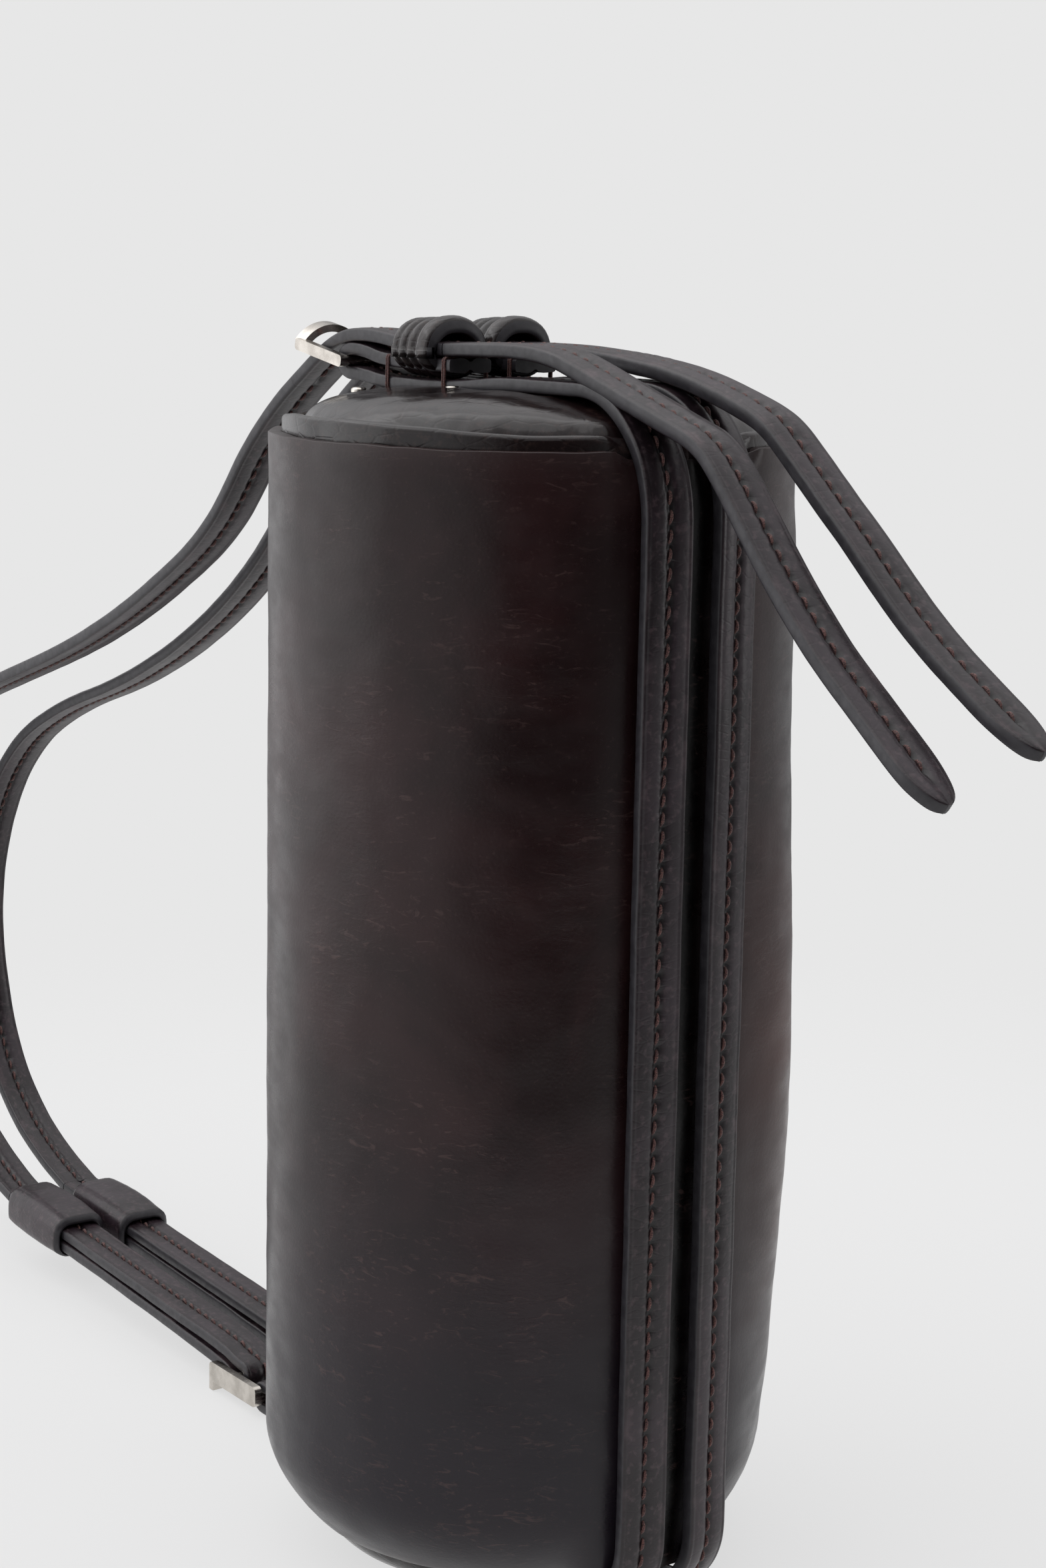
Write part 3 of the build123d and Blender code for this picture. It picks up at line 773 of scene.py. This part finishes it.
def barrel_surface(point):
    """Hand-made wall: soft waves, pulled in a little beside the straps and at the slit."""
    x, y, z = point
    out = Vector((x, y, 0)).normalized()
    wave = 0.5 * rough((x, y, z * 0.45), 38, 4.0, 2)
    wave += 0.16 * rough(point, 11, 9.0, 3)
    if y < 0:
        wave -= 0.5 * smooth(22, 15, abs(x)) * smooth(3.4, 6, abs(x))
    else:
        wave -= 0.45 * smooth(16, 8, abs(x))
    crest = smooth(250, 263, z)
    lip = 0.5 * rough((x, y, 0), 17, 2.0, 2)
    wave += side_bulge(x, y, z)
    shift = out * ((wave - 0.75) * (1 - 0.5 * crest) - foot_roll(x, y, z))
    return pressed(point + shift + Vector((0, 0, lip * crest)))


barrel = slotted_wall("barrel_shell", BODY_R, barrel_rows(), barrel_surface, BARREL, WALL)
rounding = barrel.modifiers.new("rolled_edges", "BEVEL")
rounding.width, rounding.segments = 1.35 * MM, 5
rounding.limit_method, rounding.angle_limit = "ANGLE", math.radians(55)
for label, share_at in (
        ("edge", lambda p: max(smooth(259.5, 262.5, p.z), smooth(BODY_LOW + 1, BODY_LOW - 2, p.z))),
        # painted shade on the wall between the harness straps, turned near black in barrel_leather
        ("strap_gap_shade", lambda p: smooth(4.6, 3.6, abs(p.x)) * (1 if p.y < 0 else 0))):
    painted = barrel.data.attributes.new(label, "FLOAT", "POINT")
    painted.data.foreach_set("value", [share_at(v.co / MM) for v in barrel.data.vertices])
attach(barrel, "bag", "barrel_leather", "body_shell")


def slit_stitches():
    """Thread round the zip's slit, a few millimetres from the leather's edge."""
    inset = 3.2
    half = SLIT_HALF + inset
    low, high = SLIT_LOW - inset, SLIT_HIGH + inset
    corners = [(-half, low), (half, low), (half, high), (-half, high)]
    verts, quads = [], []
    for (x0, z0), (x1, z1) in zip(corners, corners[1:] + corners[:1]):
        run = math.hypot(x1 - x0, z1 - z0)
        count = round(run / 3.4)
        for i in range(count):
            ends = [Vector((x0 + (x1 - x0) * t, 0, z0 + (z1 - z0) * t))
                    for t in ((i + 0.09) / count, (i + 0.91) / count)]
            first = len(verts)
            for step in range(6):
                share = step / 5
                flat = ends[0].lerp(ends[1], share)
                angle = math.pi / 2 - flat.x / BODY_R
                spot = Vector((BODY_R * math.cos(angle), BODY_R * math.sin(angle), flat.z))
                out = Vector((spot.x, spot.y, 0)).normalized()
                spot = barrel_surface(spot) + out * (0.36 * math.sin(math.pi * share) - 0.2)
                way = (ends[1] - ends[0]).normalized()
                way = Vector((way.x * out.y, -way.x * out.x, way.z))
                beside = way.cross(out)
                radius = 0.17 + 0.13 * math.sin(math.pi * share)
                for j in range(THREAD_SIDES):
                    turn = math.tau * j / THREAD_SIDES
                    verts.append(spot + (beside * math.cos(turn) + out * math.sin(turn)) * radius)
            for step in range(5):
                a, b = first + step * THREAD_SIDES, first + (step + 1) * THREAD_SIDES
                for j in range(THREAD_SIDES):
                    k = (j + 1) % THREAD_SIDES
                    quads.append((a + j, a + k, b + k, b + j))
    return mesh_object("slit_thread", verts, quads, [THREAD])


attach(slit_stitches(), "bag", "barrel_leather")


def lathe(name, profile, columns, material, shape, closed=True):
    """Turns a profile of (radius, z) round Z; each point then goes through shape."""
    rings = []
    for index in range(columns):
        angle = math.tau * index / columns
        rings.append([shape(Vector((r * math.cos(angle), r * math.sin(angle), z)))
                      for r, z in profile])
    faces = []
    count = len(profile)
    for row in range(columns):
        a, b = row * count, ((row + 1) % columns) * count
        for j in range(count if closed else count - 1):
            k = (j + 1) % count
            faces.append((a + j, a + k, b + k, b + j))
    return mesh_object(name, [p for ring in rings for p in ring], faces, [material])


def ring_profile(low, high, crest_up):
    """Section of a piping ring with one rounded crest."""
    outer, inner = 56.75, 54.2
    middle, half = (outer + inner) / 2, (outer - inner) / 2
    crest = []
    for i in range(9):
        angle = math.pi * i / 8
        crest.append((middle + half * math.cos(angle), high - half + half * math.sin(angle)))
    wall = [(inner, high - half - 2.2), (inner, low + 4), (inner, low), (outer, low),
            (outer, low + 4), (outer, high - half - 2.2)]
    profile = crest + wall
    if crest_up:
        return profile
    return [(r, low + high - z) for r, z in profile]


def ring_surface(point):
    """The ring leans and swells a little on its way round."""
    x, y, z = point
    sway = 0.3 * rough((x, y, 0), 26, 12.0, 2)
    out = Vector((x, y, 0)).normalized()
    lift = 0.45 * rough((x, y, 0), 19, 6.0, 2) + 1.4 * smooth(-38, -57, x) * smooth(255, 264, z)
    return pressed(point + Vector((0, 0, lift)) + out * (sway - 0.25 - foot_roll(x, y, z)))


top_ring = lathe("top_piping", ring_profile(250.0, 266.3, True), 240, END, ring_surface)
attach(top_ring, "bag", "end_leather", "top_piping_ring")
low_ring = lathe("bottom_piping", ring_profile(9.8, 26.0, False), 240, END, ring_surface)
attach(low_ring, "bag", "end_leather", "bottom_piping_ring")


def inflate(piece, pressure, frames, cap, held):
    """Puffs a closed mesh with a short cloth run; points for which held(z) is true stay put."""
    scene = bpy.context.scene
    bpy.context.view_layer.objects.active = piece
    remesh = piece.modifiers.new("even_mesh", "REMESH")
    remesh.mode, remesh.voxel_size = "VOXEL", 4 * MM
    evaluated = piece.evaluated_get(bpy.context.evaluated_depsgraph_get())
    even = bpy.data.meshes.new_from_object(evaluated)
    piece.modifiers.clear()
    piece.data = even
    rest = [v.co.copy() for v in even.vertices]
    pins = piece.vertex_groups.new(name="held")
    pins.add([v.index for v in even.vertices if held(v.co / MM)], 1.0, "REPLACE")
    cloth = piece.modifiers.new("puff", "CLOTH")
    settings = cloth.settings
    settings.quality = 6
    settings.mass = 0.25
    settings.tension_stiffness = settings.compression_stiffness = 22
    settings.bending_stiffness = 1.2
    settings.use_pressure = True
    settings.uniform_pressure_force = pressure
    settings.vertex_group_mass = "held"
    settings.effector_weights.gravity = 0.0
    cloth.point_cache.frame_start, cloth.point_cache.frame_end = 1, frames
    for number in range(1, frames + 1):
        scene.frame_set(number)
    evaluated = piece.evaluated_get(bpy.context.evaluated_depsgraph_get())
    puffed = [v.co.copy() for v in evaluated.data.vertices]
    piece.modifiers.clear()
    scene.frame_set(1)
    for vertex, start, end in zip(piece.data.vertices, rest, puffed):
        move = end - start
        if move.length > cap * MM:
            move = move.normalized() * cap * MM
        vertex.co = start + move
    return piece


def finer(piece, levels=1):
    """Applies one subdivision to a mesh."""
    modifier = piece.modifiers.new("smooth", "SUBSURF")
    modifier.levels = modifier.render_levels = levels
    evaluated = piece.evaluated_get(bpy.context.evaluated_depsgraph_get())
    mesh = bpy.data.meshes.new_from_object(evaluated)
    piece.modifiers.clear()
    piece.data = mesh
    return piece


def cushion(name, low, seam, top, radius, flip, pressure):
    """Round padded end panel: a slightly smaller disc, puffed by cloth; the top one is creased
    afterwards.
    """
    rise = top - seam
    profile = [(0.01, low), (radius * 0.5, low), (radius - 0.6, low), (radius, low + 0.6),
               (radius, seam), (radius - 0.6, seam + 0.3 * rise), (radius - 2.6, seam + 0.6 * rise),
               (radius - 6.5, seam + 0.83 * rise), (radius - 14, top - 0.4), (radius * 0.4, top),
               (0.01, top)]
    if flip:
        profile = [(r, low + top - z) for r, z in profile]
        held_above = low + top - seam
    piece = lathe(name, profile, 96, END, Vector, closed=True)
    weld = bmesh.new()
    weld.from_mesh(piece.data)
    bmesh.ops.remove_doubles(weld, verts=weld.verts, dist=0.15 * MM)
    weld.to_mesh(piece.data)
    weld.free()
    if flip:
        inflate(piece, pressure, 20, 1.5, lambda p: p.z > held_above)
    else:
        inflate(piece, pressure, 20, 1.2, lambda p: p.z < seam)
    finer(piece, 2)
    return piece


top_pad = cushion("top_end_cushion", 259.0, 262.8, 272.5, 53.2, False, 4.0)
for vertex in top_pad.data.vertices:
    place = vertex.co / MM
    out = math.hypot(place.x, place.y)
    if place.z > 262:
        angle = math.atan2(place.y, place.x)
        pucker = smooth(36, 51, out) * smooth(53.5, 51.5, out)
        folds = rough((angle * 26, out * 0.25, 0), 3.0, 8.0, 2)
        place.z += 0.2 * pucker * folds + 0.6 * rough(place, 24, 5.0, 2) * smooth(53, 46, out)
    vertex.co = under_straps(place) * MM
top_pad.data.shade_smooth()
attach(top_pad, "bag", "end_leather", "top_cushion")

STRAP_ROOM = 3.4          # height of the lower cushion over the harness straps
low_pad = cushion("bottom_end_cushion", 1.4, 8.0, 16.6, 46.8, True, 2.0)
for vertex in low_pad.data.vertices:
    place = vertex.co / MM
    place.z = max(0.1, place.z)
    groove = smooth(2.6, 4.0, abs(place.x)) * smooth(16.4, 15.2, abs(place.x))
    if place.z < STRAP_ROOM:
        place.z += (STRAP_ROOM - place.z) * groove
    vertex.co = place * MM
low_pad.data.shade_smooth()
attach(low_pad, "bag", "end_leather", "bottom_cushion")


# ---- lining and pocket -----------------------------------------------------------------------------
def lining_surface(point):
    """Loose cloth against the wall, with long soft folds that only go inwards."""
    out = Vector((point.x, point.y, 0)).normalized()
    return point - out * (0.55 + 0.5 * rough((point.x, point.y, point.z * 0.3), 16, 14.0, 2))


tube_rows = [z for z in barrel_rows() if 20.0 <= z <= 256.8]
lining = slotted_wall("lining_sleeve", 54.0, tube_rows, lining_surface, LINING, 0.6)
attach(lining, "bag", "lining_fabric", "lining_tube")


def fabric_disc(name, z, radius, thick):
    """Round lining panel with a little slack."""
    def slack(point):
        away = math.hypot(point.x, point.y)
        lift = 0.25 * rough((point.x, point.y, z), 18, 3.0, 2) * smooth(radius, radius - 8, away)
        return point + Vector((0, 0, lift))
    steps = [radius * i / 16 for i in range(17)]
    profile = [(max(r, 0.01), z) for r in steps] + [(max(r, 0.01), z + thick) for r in steps[::-1]]
    return lathe(name, profile, 72, LINING, slack)


attach(fabric_disc("top_lining_panel", 256.0, 52.6, 0.6), "bag", "lining_fabric",
       "top_lining_disc")
attach(fabric_disc("bottom_lining_panel", 19.2, 52.6, 0.6), "bag", "lining_fabric",
       "bottom_lining_disc")


def pocket():
    """Slip pocket opposite the zip: one cloth panel with a rolled hem, standing off the wall."""
    half, low, high = 38.0, 92.0, 182.0
    columns, rows = 44, 36
    verts, faces = [], []
    for face in (0, 1):
        for i in range(rows + 1):
            z = low + (high - low) * i / rows
            hem = smooth(high - 7, high - 5, z)
            for j in range(columns + 1):
                x = -half + 2 * half * j / columns
                slack = math.sin(math.pi * j / columns) * smooth(low, high, z) * 1.3
                fold = 0.25 * rough((x, 0, z * 0.4), 13, 7.0, 2)
                radius = 52.35 - slack - fold - (0.9 + 0.5 * hem) * (1 - face)
                verts.append((x, -math.sqrt(radius ** 2 - x ** 2), z))
    width = columns + 1
    layer = width * (rows + 1)
    for i in range(rows):
        for j in range(columns):
            a = i * width + j
            faces.append((a, a + 1, a + 1 + width, a + width))
            faces.append((layer + a, layer + a + width, layer + a + 1 + width, layer + a + 1))
    rim = [j for j in range(width)] + [i * width + columns for i in range(1, rows + 1)]
    rim += [rows * width + j for j in range(columns - 1, -1, -1)]
    rim += [i * width for i in range(rows - 1, 0, -1)]
    for a, b in zip(rim, rim[1:] + rim[:1]):
        faces.append((a, layer + a, layer + b, b))
    return mesh_object("slip_pocket_cloth", verts, faces, [LINING])


attach(pocket(), "bag", "lining_fabric", "slip_pocket")


# ---- zip -------------------------------------------------------------------------------------------
def tape(side):
    """Zip tape: thin woven strip with a corded inner edge under the teeth."""
    section = [(0.4, 0.0), (0.4, 0.62), (1.0, 0.62), (2.8, 0.6), (3.4, 0.45), (6.0, 0.45),
               (9.0, 0.5), (12.9, 0.5), (12.9, 0.0), (8.0, 0.0), (3.0, 0.0)]
    rings = []
    rows = 150
    for i in range(rows + 1):
        z = 38.2 + 207.6 * i / rows
        ring = []
        for across, rise in section:
            sag = 0.08 * rough((across, z, side), 9, 6.0, 2)
            radius = 56.22 + min(rise, rise + sag)
            angle = math.pi / 2 - side * across / 56.5
            ring.append((radius * math.cos(angle), radius * math.sin(angle), z))
        rings.append(ring)
    faces = joined_rings(rings)
    count = len(section)
    last = len(rings) * count - count
    faces += [tuple(range(count)), tuple(range(last, last + count))]
    return [p for ring in rings for p in ring], faces


for name, side in SIDES.items():
    verts, faces = tape(side)
    attach(mesh_object(f"zip_tape_cloth_{name}", verts, faces, [TAPE]), "bag", "zip_tape",
           f"zip_tape_{name}")

PULL_ROUTE = [
    (63.5, 185.6), (63.5, 200.0), (63.6, 210.0), (64.4, 217.5), (64.4, 222.8), (61.0, 222.8),
    (61.0, 217.5), (61.8, 210.0), (61.9, 200.0), (61.9, 185.6)]
pull_route = Route("pull", PULL_ROUTE, 0.0)
pull = Strap("pull_tab_leather", pull_route, width=9.2, thick=1.3, tips=(5.5, 5.5), step=0.7,
             stitched=(5.0, pull_route.length - 5.0), seed=71.0)
attach(pull.build(), "zip_puller", "strap_leather", "zip_pull_tab")
attach(pull.stitches(), "zip_puller", "strap_leather")


# ---- keepers and sleeves ---------------------------------------------------------------------------
def rounded_box_line(half, low, high, radius, steps=7):
    """Closed (x, z) line of a box with round corners, and the way out at each point."""
    line = []
    corners = [(half - radius, high - radius, 0), (-half + radius, high - radius, 90),
               (-half + radius, low + radius, 180), (half - radius, low + radius, 270)]
    for x, z, start in corners:
        for i in range(steps):
            angle = math.radians(start + 90 * i / (steps - 1))
            out = Vector((math.cos(angle), 0, math.sin(angle)))
            line.append((Vector((x, 0, z)) + out * radius, out))
    dense = []
    for (a, out_a), (b, out_b) in zip(line, line[1:] + line[:1]):
        parts = max(1, round((b - a).length / 1.2))
        for i in range(parts):
            share = i / parts
            dense.append((a.lerp(b, share), out_a.lerp(out_b, share).normalized()))
    return dense


ROLL_SHARE = 0.36                 # part of a keeper's length that its front roll takes


def band(name, line, y0, y1, thick, ribs, rib_height, materials, crown=0.0, seed=1.0):
    """A leather loop round a strap: its wall follows the line, its outside may be ribbed."""
    columns = 40
    inside = 0.35
    section = []
    for i in range(columns + 1):
        share = i / columns
        end = min(share, 1 - share) * (y1 - y0)
        round_off = thick * (1 - math.sqrt(max(0.0, 1 - (1 - min(1.0, end / 1.1)) ** 2))) * 0.55
        ripple = 0.0
        if ribs:
            beyond = max(0.0, (share - ROLL_SHARE) / (1 - ROLL_SHARE))
            ripple = rib_height * (abs(math.sin(math.pi * ribs * beyond)) ** 0.7 - 1)
            if share <= ROLL_SHARE:
                ripple = 0.5 * math.sin(math.pi * share / ROLL_SHARE) - rib_height * (
                    share / ROLL_SHARE) ** 6
        section.append((y0 + (y1 - y0) * share, thick - round_off + ripple
                        + crown * math.sin(math.pi * share), True))
    for i in range(columns, -1, -2):
        share = i / columns
        end = min(share, 1 - share) * (y1 - y0)
        round_off = inside * (1 - min(1.0, end / 0.8))
        section.append((y0 + (y1 - y0) * share, round_off, False))
    rings = []
    for base, out in line:
        ring = []
        top = smooth(0.1, 0.9, out.z)
        under = smooth(-0.2, -0.9, out.z)
        for y, rise, outer in section:
            lift = rise
            if outer:
                lift = rise * (1 + 0.38 * top - 0.45 * under)
                lift += 0.1 * rough((base.x, y, base.z), 4.5, seed, 2)
            spot = base + out * lift
            ring.append((spot.x, y, spot.z))
        rings.append(ring)
    faces = joined_rings(rings, closed=True)
    count = len(section)
    slots = []
    for _ in rings:
        for j in range(count):
            near_end = j in (0, columns - 1, columns, columns + 1, count - 1)
            slots.append(1 if near_end else 0)
    made = mesh_object(name, [p for ring in rings for p in ring], faces, materials, slots)
    made.data.attributes.new("edge", "FLOAT", "POINT").data.foreach_set("value", [
        smooth(0.75, 0.2, min(abs(v.co.y / MM - y0), abs(y1 - v.co.y / MM)) / 2)
        for v in made.data.vertices])
    return made


for name, side in SIDES.items():
    line = rounded_box_line(6.2, 276.35, 285.0, 5.6, 11)
    keeper = band(f"keeper_loop_{name}", line, 17.0, 33.0, 2.3, 3, 0.9, [END, EDGE],
                  crown=0.4, seed=80 + side)
    keeper.data.transform(Matrix.Translation((side * STRAP_X * MM, 0, 0)))
    attach(keeper, "bag", "strap_leather", f"keeper_{name}")

SLEEVE_Y = {"left": (208.0, 238.0), "right": (202.0, 232.0)}
DOUBLED_FROM = (116.5, 8.3)     # (y, z) where the doubled strap's straight part begins
DOUBLED_TO = (240.0, 14.1)      # and where it ends
SLEEVE_LIFT = 0.26              # middle of a sleeve over the middle of its strap
for name, side in SIDES.items():
    y0, y1 = SLEEVE_Y[name]
    middle = (y0 + y1) / 2
    run = DOUBLED_TO[0] - DOUBLED_FROM[0]
    rise = DOUBLED_TO[1] - DOUBLED_FROM[1]
    lean = math.atan2(rise, run)
    z = DOUBLED_FROM[1] + (middle - DOUBLED_FROM[0]) * rise / run + STRAP_T / 2 + SLEEVE_LIFT
    line = rounded_box_line(6.2, -4.6, 4.2, 3.0)
    sleeve = band(f"sliding_sleeve_{name}", line, -15.5, 16.5, 1.8, 0, 0.0, [FACE, EDGE],
                  crown=0.6, seed=90 + side)
    sleeve.data.transform(
        Matrix.Translation((side * STRAP_X * MM, middle * MM, z * MM))
        @ Matrix.Rotation(lean, 4, "X"))
    attach(sleeve, f"sleeve_{name}", "strap_leather", f"sleeve_{name}")


# ---- thread that binds the folded strap ends ---------------------------------------------------------
def binding(name, x, rows):
    """Rows of thread passed round both layers of a fold: (y, low z, high z) each."""
    verts, quads = [], []
    half = STRAP_W / 2 + 0.12
    for y, low, high in rows:
        for shift in (-0.35, 0.35):
            line = rounded_box_line(half, low, high, 0.7, 4)
            first = len(verts)
            for base, out in line:
                wave = 0.14 * rough((base.x, y + shift, base.z), 2.2, 3.0, 2)
                middle = base + Vector((x, y + shift + wave, 0))
                for j in range(THREAD_SIDES):
                    turn = math.tau * j / THREAD_SIDES
                    verts.append(middle + (out * math.cos(turn) + Vector((0, 1, 0)) *
                                           math.sin(turn)) * 0.34)
            count = len(line)
            for i in range(count):
                a, b = first + i * THREAD_SIDES, first + ((i + 1) % count) * THREAD_SIDES
                for j in range(THREAD_SIDES):
                    k = (j + 1) % THREAD_SIDES
                    quads.append((a + j, a + k, b + k, b + j))
    return mesh_object(name, verts, quads, [THREAD])


for name, side in SIDES.items():
    x = side * STRAP_X
    attach(binding(f"top_fold_thread_{name}", x, [(37.3, 271.8, 279.6), (14.2, 271.3, 279.7)]),
           "bag", "strap_leather")


# ---- CAD parts that keep their shape -----------------------------------------------------------------
KEPT = {
    "anchor_rivets": SILVER, "top_buckle_left": SILVER, "top_buckle_right": SILVER,
    "bottom_buckle_left": SILVER, "bottom_buckle_right": SILVER, "zip_slider": ZIP_METAL,
    "zip_pull_ring": ZIP_METAL, "zip_teeth_left": ZIP_METAL, "zip_teeth_right": ZIP_METAL,
    "zip_stops": ZIP_METAL, "top_board": BOARD, "bottom_board": BOARD, "stiffener_tube": BOARD}
SOFTENED = {"zip_teeth_left": 0.28, "zip_teeth_right": 0.28, "zip_stops": 0.4,
            "bottom_buckle_left": 0.35, "bottom_buckle_right": 0.35, "top_buckle_left": 0.3,
            "top_buckle_right": 0.3, "zip_slider": 0.3}
for node_name, material in KEPT.items():
    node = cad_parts[node_name]
    if not node.material_slots:
        node.data.materials.append(material)
    for socket in node.material_slots:
        socket.material = material
    if node_name in SOFTENED:
        soften = node.modifiers.new("soft_edges", "BEVEL")
        soften.width, soften.segments = SOFTENED[node_name] * MM, 3
        soften.limit_method, soften.angle_limit = "ANGLE", math.radians(40)


# ---- studio --------------------------------------------------------------------------------------------
LEFT_WAY = Vector((-math.cos(TURN), math.sin(TURN), 0.0))
BACK_WAY = Vector((math.sin(TURN), math.cos(TURN), 0.0))
PAPER = srgb(231, 231, 231)
FLOOR_GLOW = 0.8          # light that the paper gives off by itself
FLOOR_RADIUS = 700.0      # millimetres
FLOOR_Z = -0.15           # just under the bag, millimetres
AIR_BASE = 0.045          # light of the air where no wall faces


def floor_finish():
    """Pale paper that fades into the pale air of the studio."""
    f = Finish("studio_paper")
    f.set(Base_Color=srgb(112, 112, 112), Roughness=0.95, Emission_Color=PAPER,
          Emission_Strength=FLOOR_GLOW, Specular_IOR_Level=0.0)
    far = f.add("ShaderNodeVectorMath", {0: f.place}, operation="LENGTH").outputs["Value"]
    clear = f.add("ShaderNodeBsdfTransparent")
    blend = f.add("ShaderNodeMixShader", {
        0: f.span(far, 0.3, 0.66), 1: f.shader.outputs[0], 2: clear.outputs[0]})
    f.tree.links.new(blend.outputs[0], f.tree.nodes["Material Output"].inputs["Surface"])
    return f.material


def studio_floor():
    """Round sheet of paper under the bag."""
    verts = [(0.0, 0.0, FLOOR_Z)]
    faces = []
    rings, columns = 12, 64
    for ring in range(1, rings + 1):
        for column in range(columns):
            angle = math.tau * column / columns
            away = FLOOR_RADIUS * ring / rings
            verts.append((away * math.cos(angle), away * math.sin(angle), FLOOR_Z))
    for column in range(columns):
        after = (column + 1) % columns
        faces.append((0, 1 + column, 1 + after))
        for ring in range(rings - 1):
            a, b = 1 + ring * columns, 1 + (ring + 1) * columns
            faces.append((a + column, b + column, b + after, a + after))
    return mesh_object("studio_floor", verts, faces, [floor_finish()])


studio_floor()


def softbox(name, place, aim, size, power, tone=(1.0, 1.0, 1.0)):
    """Rectangular studio lamp at a place, turned to its aim, in metres and watts."""
    data = bpy.data.lights.new(name, "AREA")
    data.shape = "RECTANGLE"
    data.size, data.size_y = size
    data.energy, data.color = power, tone
    lamp = bpy.data.objects.new(name, data)
    bpy.context.scene.collection.objects.link(lamp)
    lamp.location = place
    lamp.rotation_mode = "QUATERNION"
    lamp.rotation_quaternion = (Vector(aim) - Vector(place)).to_track_quat("-Z", "Y")
    lamp.visible_camera = False
    return lamp


MIDDLE = Vector((0.0, 0.0, 0.16))
softbox("left_softbox", MIDDLE + LEFT_WAY * 1.5 + Vector((0, 0, 0.5)), MIDDLE, (1.3, 1.8), 6.0)
softbox("top_softbox", MIDDLE + LEFT_WAY * 0.5 + Vector((0, 0, 1.6)), MIDDLE, (2.2, 2.2), 12.0)
softbox("right_softbox", MIDDLE - LEFT_WAY * 1.5 + Vector((0, 0, 0.3)), MIDDLE, (0.4, 1.0), 2.0)


def studio_air():
    """Soft light from the left, the back and above, dark behind the camera."""
    world = bpy.data.worlds.new("studio_air")
    world.use_nodes = True
    tree = world.node_tree
    way = tree.nodes.new("ShaderNodeTexCoord").outputs["Generated"]
    glow = None
    walls = [(LEFT_WAY, 0.05, 0.8, 0.85), (-LEFT_WAY, 0.25, 0.95, 0.35), (BACK_WAY, 0.1, 0.9, 0.3),
             (Vector((0, 0, 1)), 0.25, 0.9, 0.8)]
    for toward, low, high, light in walls:
        dot = tree.nodes.new("ShaderNodeVectorMath")
        dot.operation = "DOT_PRODUCT"
        dot.inputs[1].default_value = toward
        tree.links.new(way, dot.inputs[0])
        span = tree.nodes.new("ShaderNodeMapRange")
        span.interpolation_type = "SMOOTHSTEP"
        for key, value in (("From Min", low), ("From Max", high), ("To Max", light)):
            span.inputs[key].default_value = value
        tree.links.new(dot.outputs["Value"], span.inputs["Value"])
        total = tree.nodes.new("ShaderNodeMath")
        tree.links.new(span.outputs[0], total.inputs[0])
        if glow is None:
            total.inputs[1].default_value = AIR_BASE
        else:
            tree.links.new(glow, total.inputs[1])
        glow = total.outputs[0]
    seen = tree.nodes.new("ShaderNodeBackground")
    seen.inputs["Color"].default_value = PAPER
    light = tree.nodes["Background"]
    tree.links.new(glow, light.inputs["Strength"])
    light.inputs["Color"].default_value = (0.985, 0.985, 1.0, 1.0)
    ray = tree.nodes.new("ShaderNodeLightPath")
    mix = tree.nodes.new("ShaderNodeMixShader")
    tree.links.new(ray.outputs["Is Camera Ray"], mix.inputs[0])
    tree.links.new(light.outputs[0], mix.inputs[1])
    tree.links.new(seen.outputs[0], mix.inputs[2])
    tree.links.new(mix.outputs[0], tree.nodes["World Output"].inputs["Surface"])
    return world


bpy.context.scene.world = studio_air()
bpy.context.scene.view_settings.view_transform = "Standard"
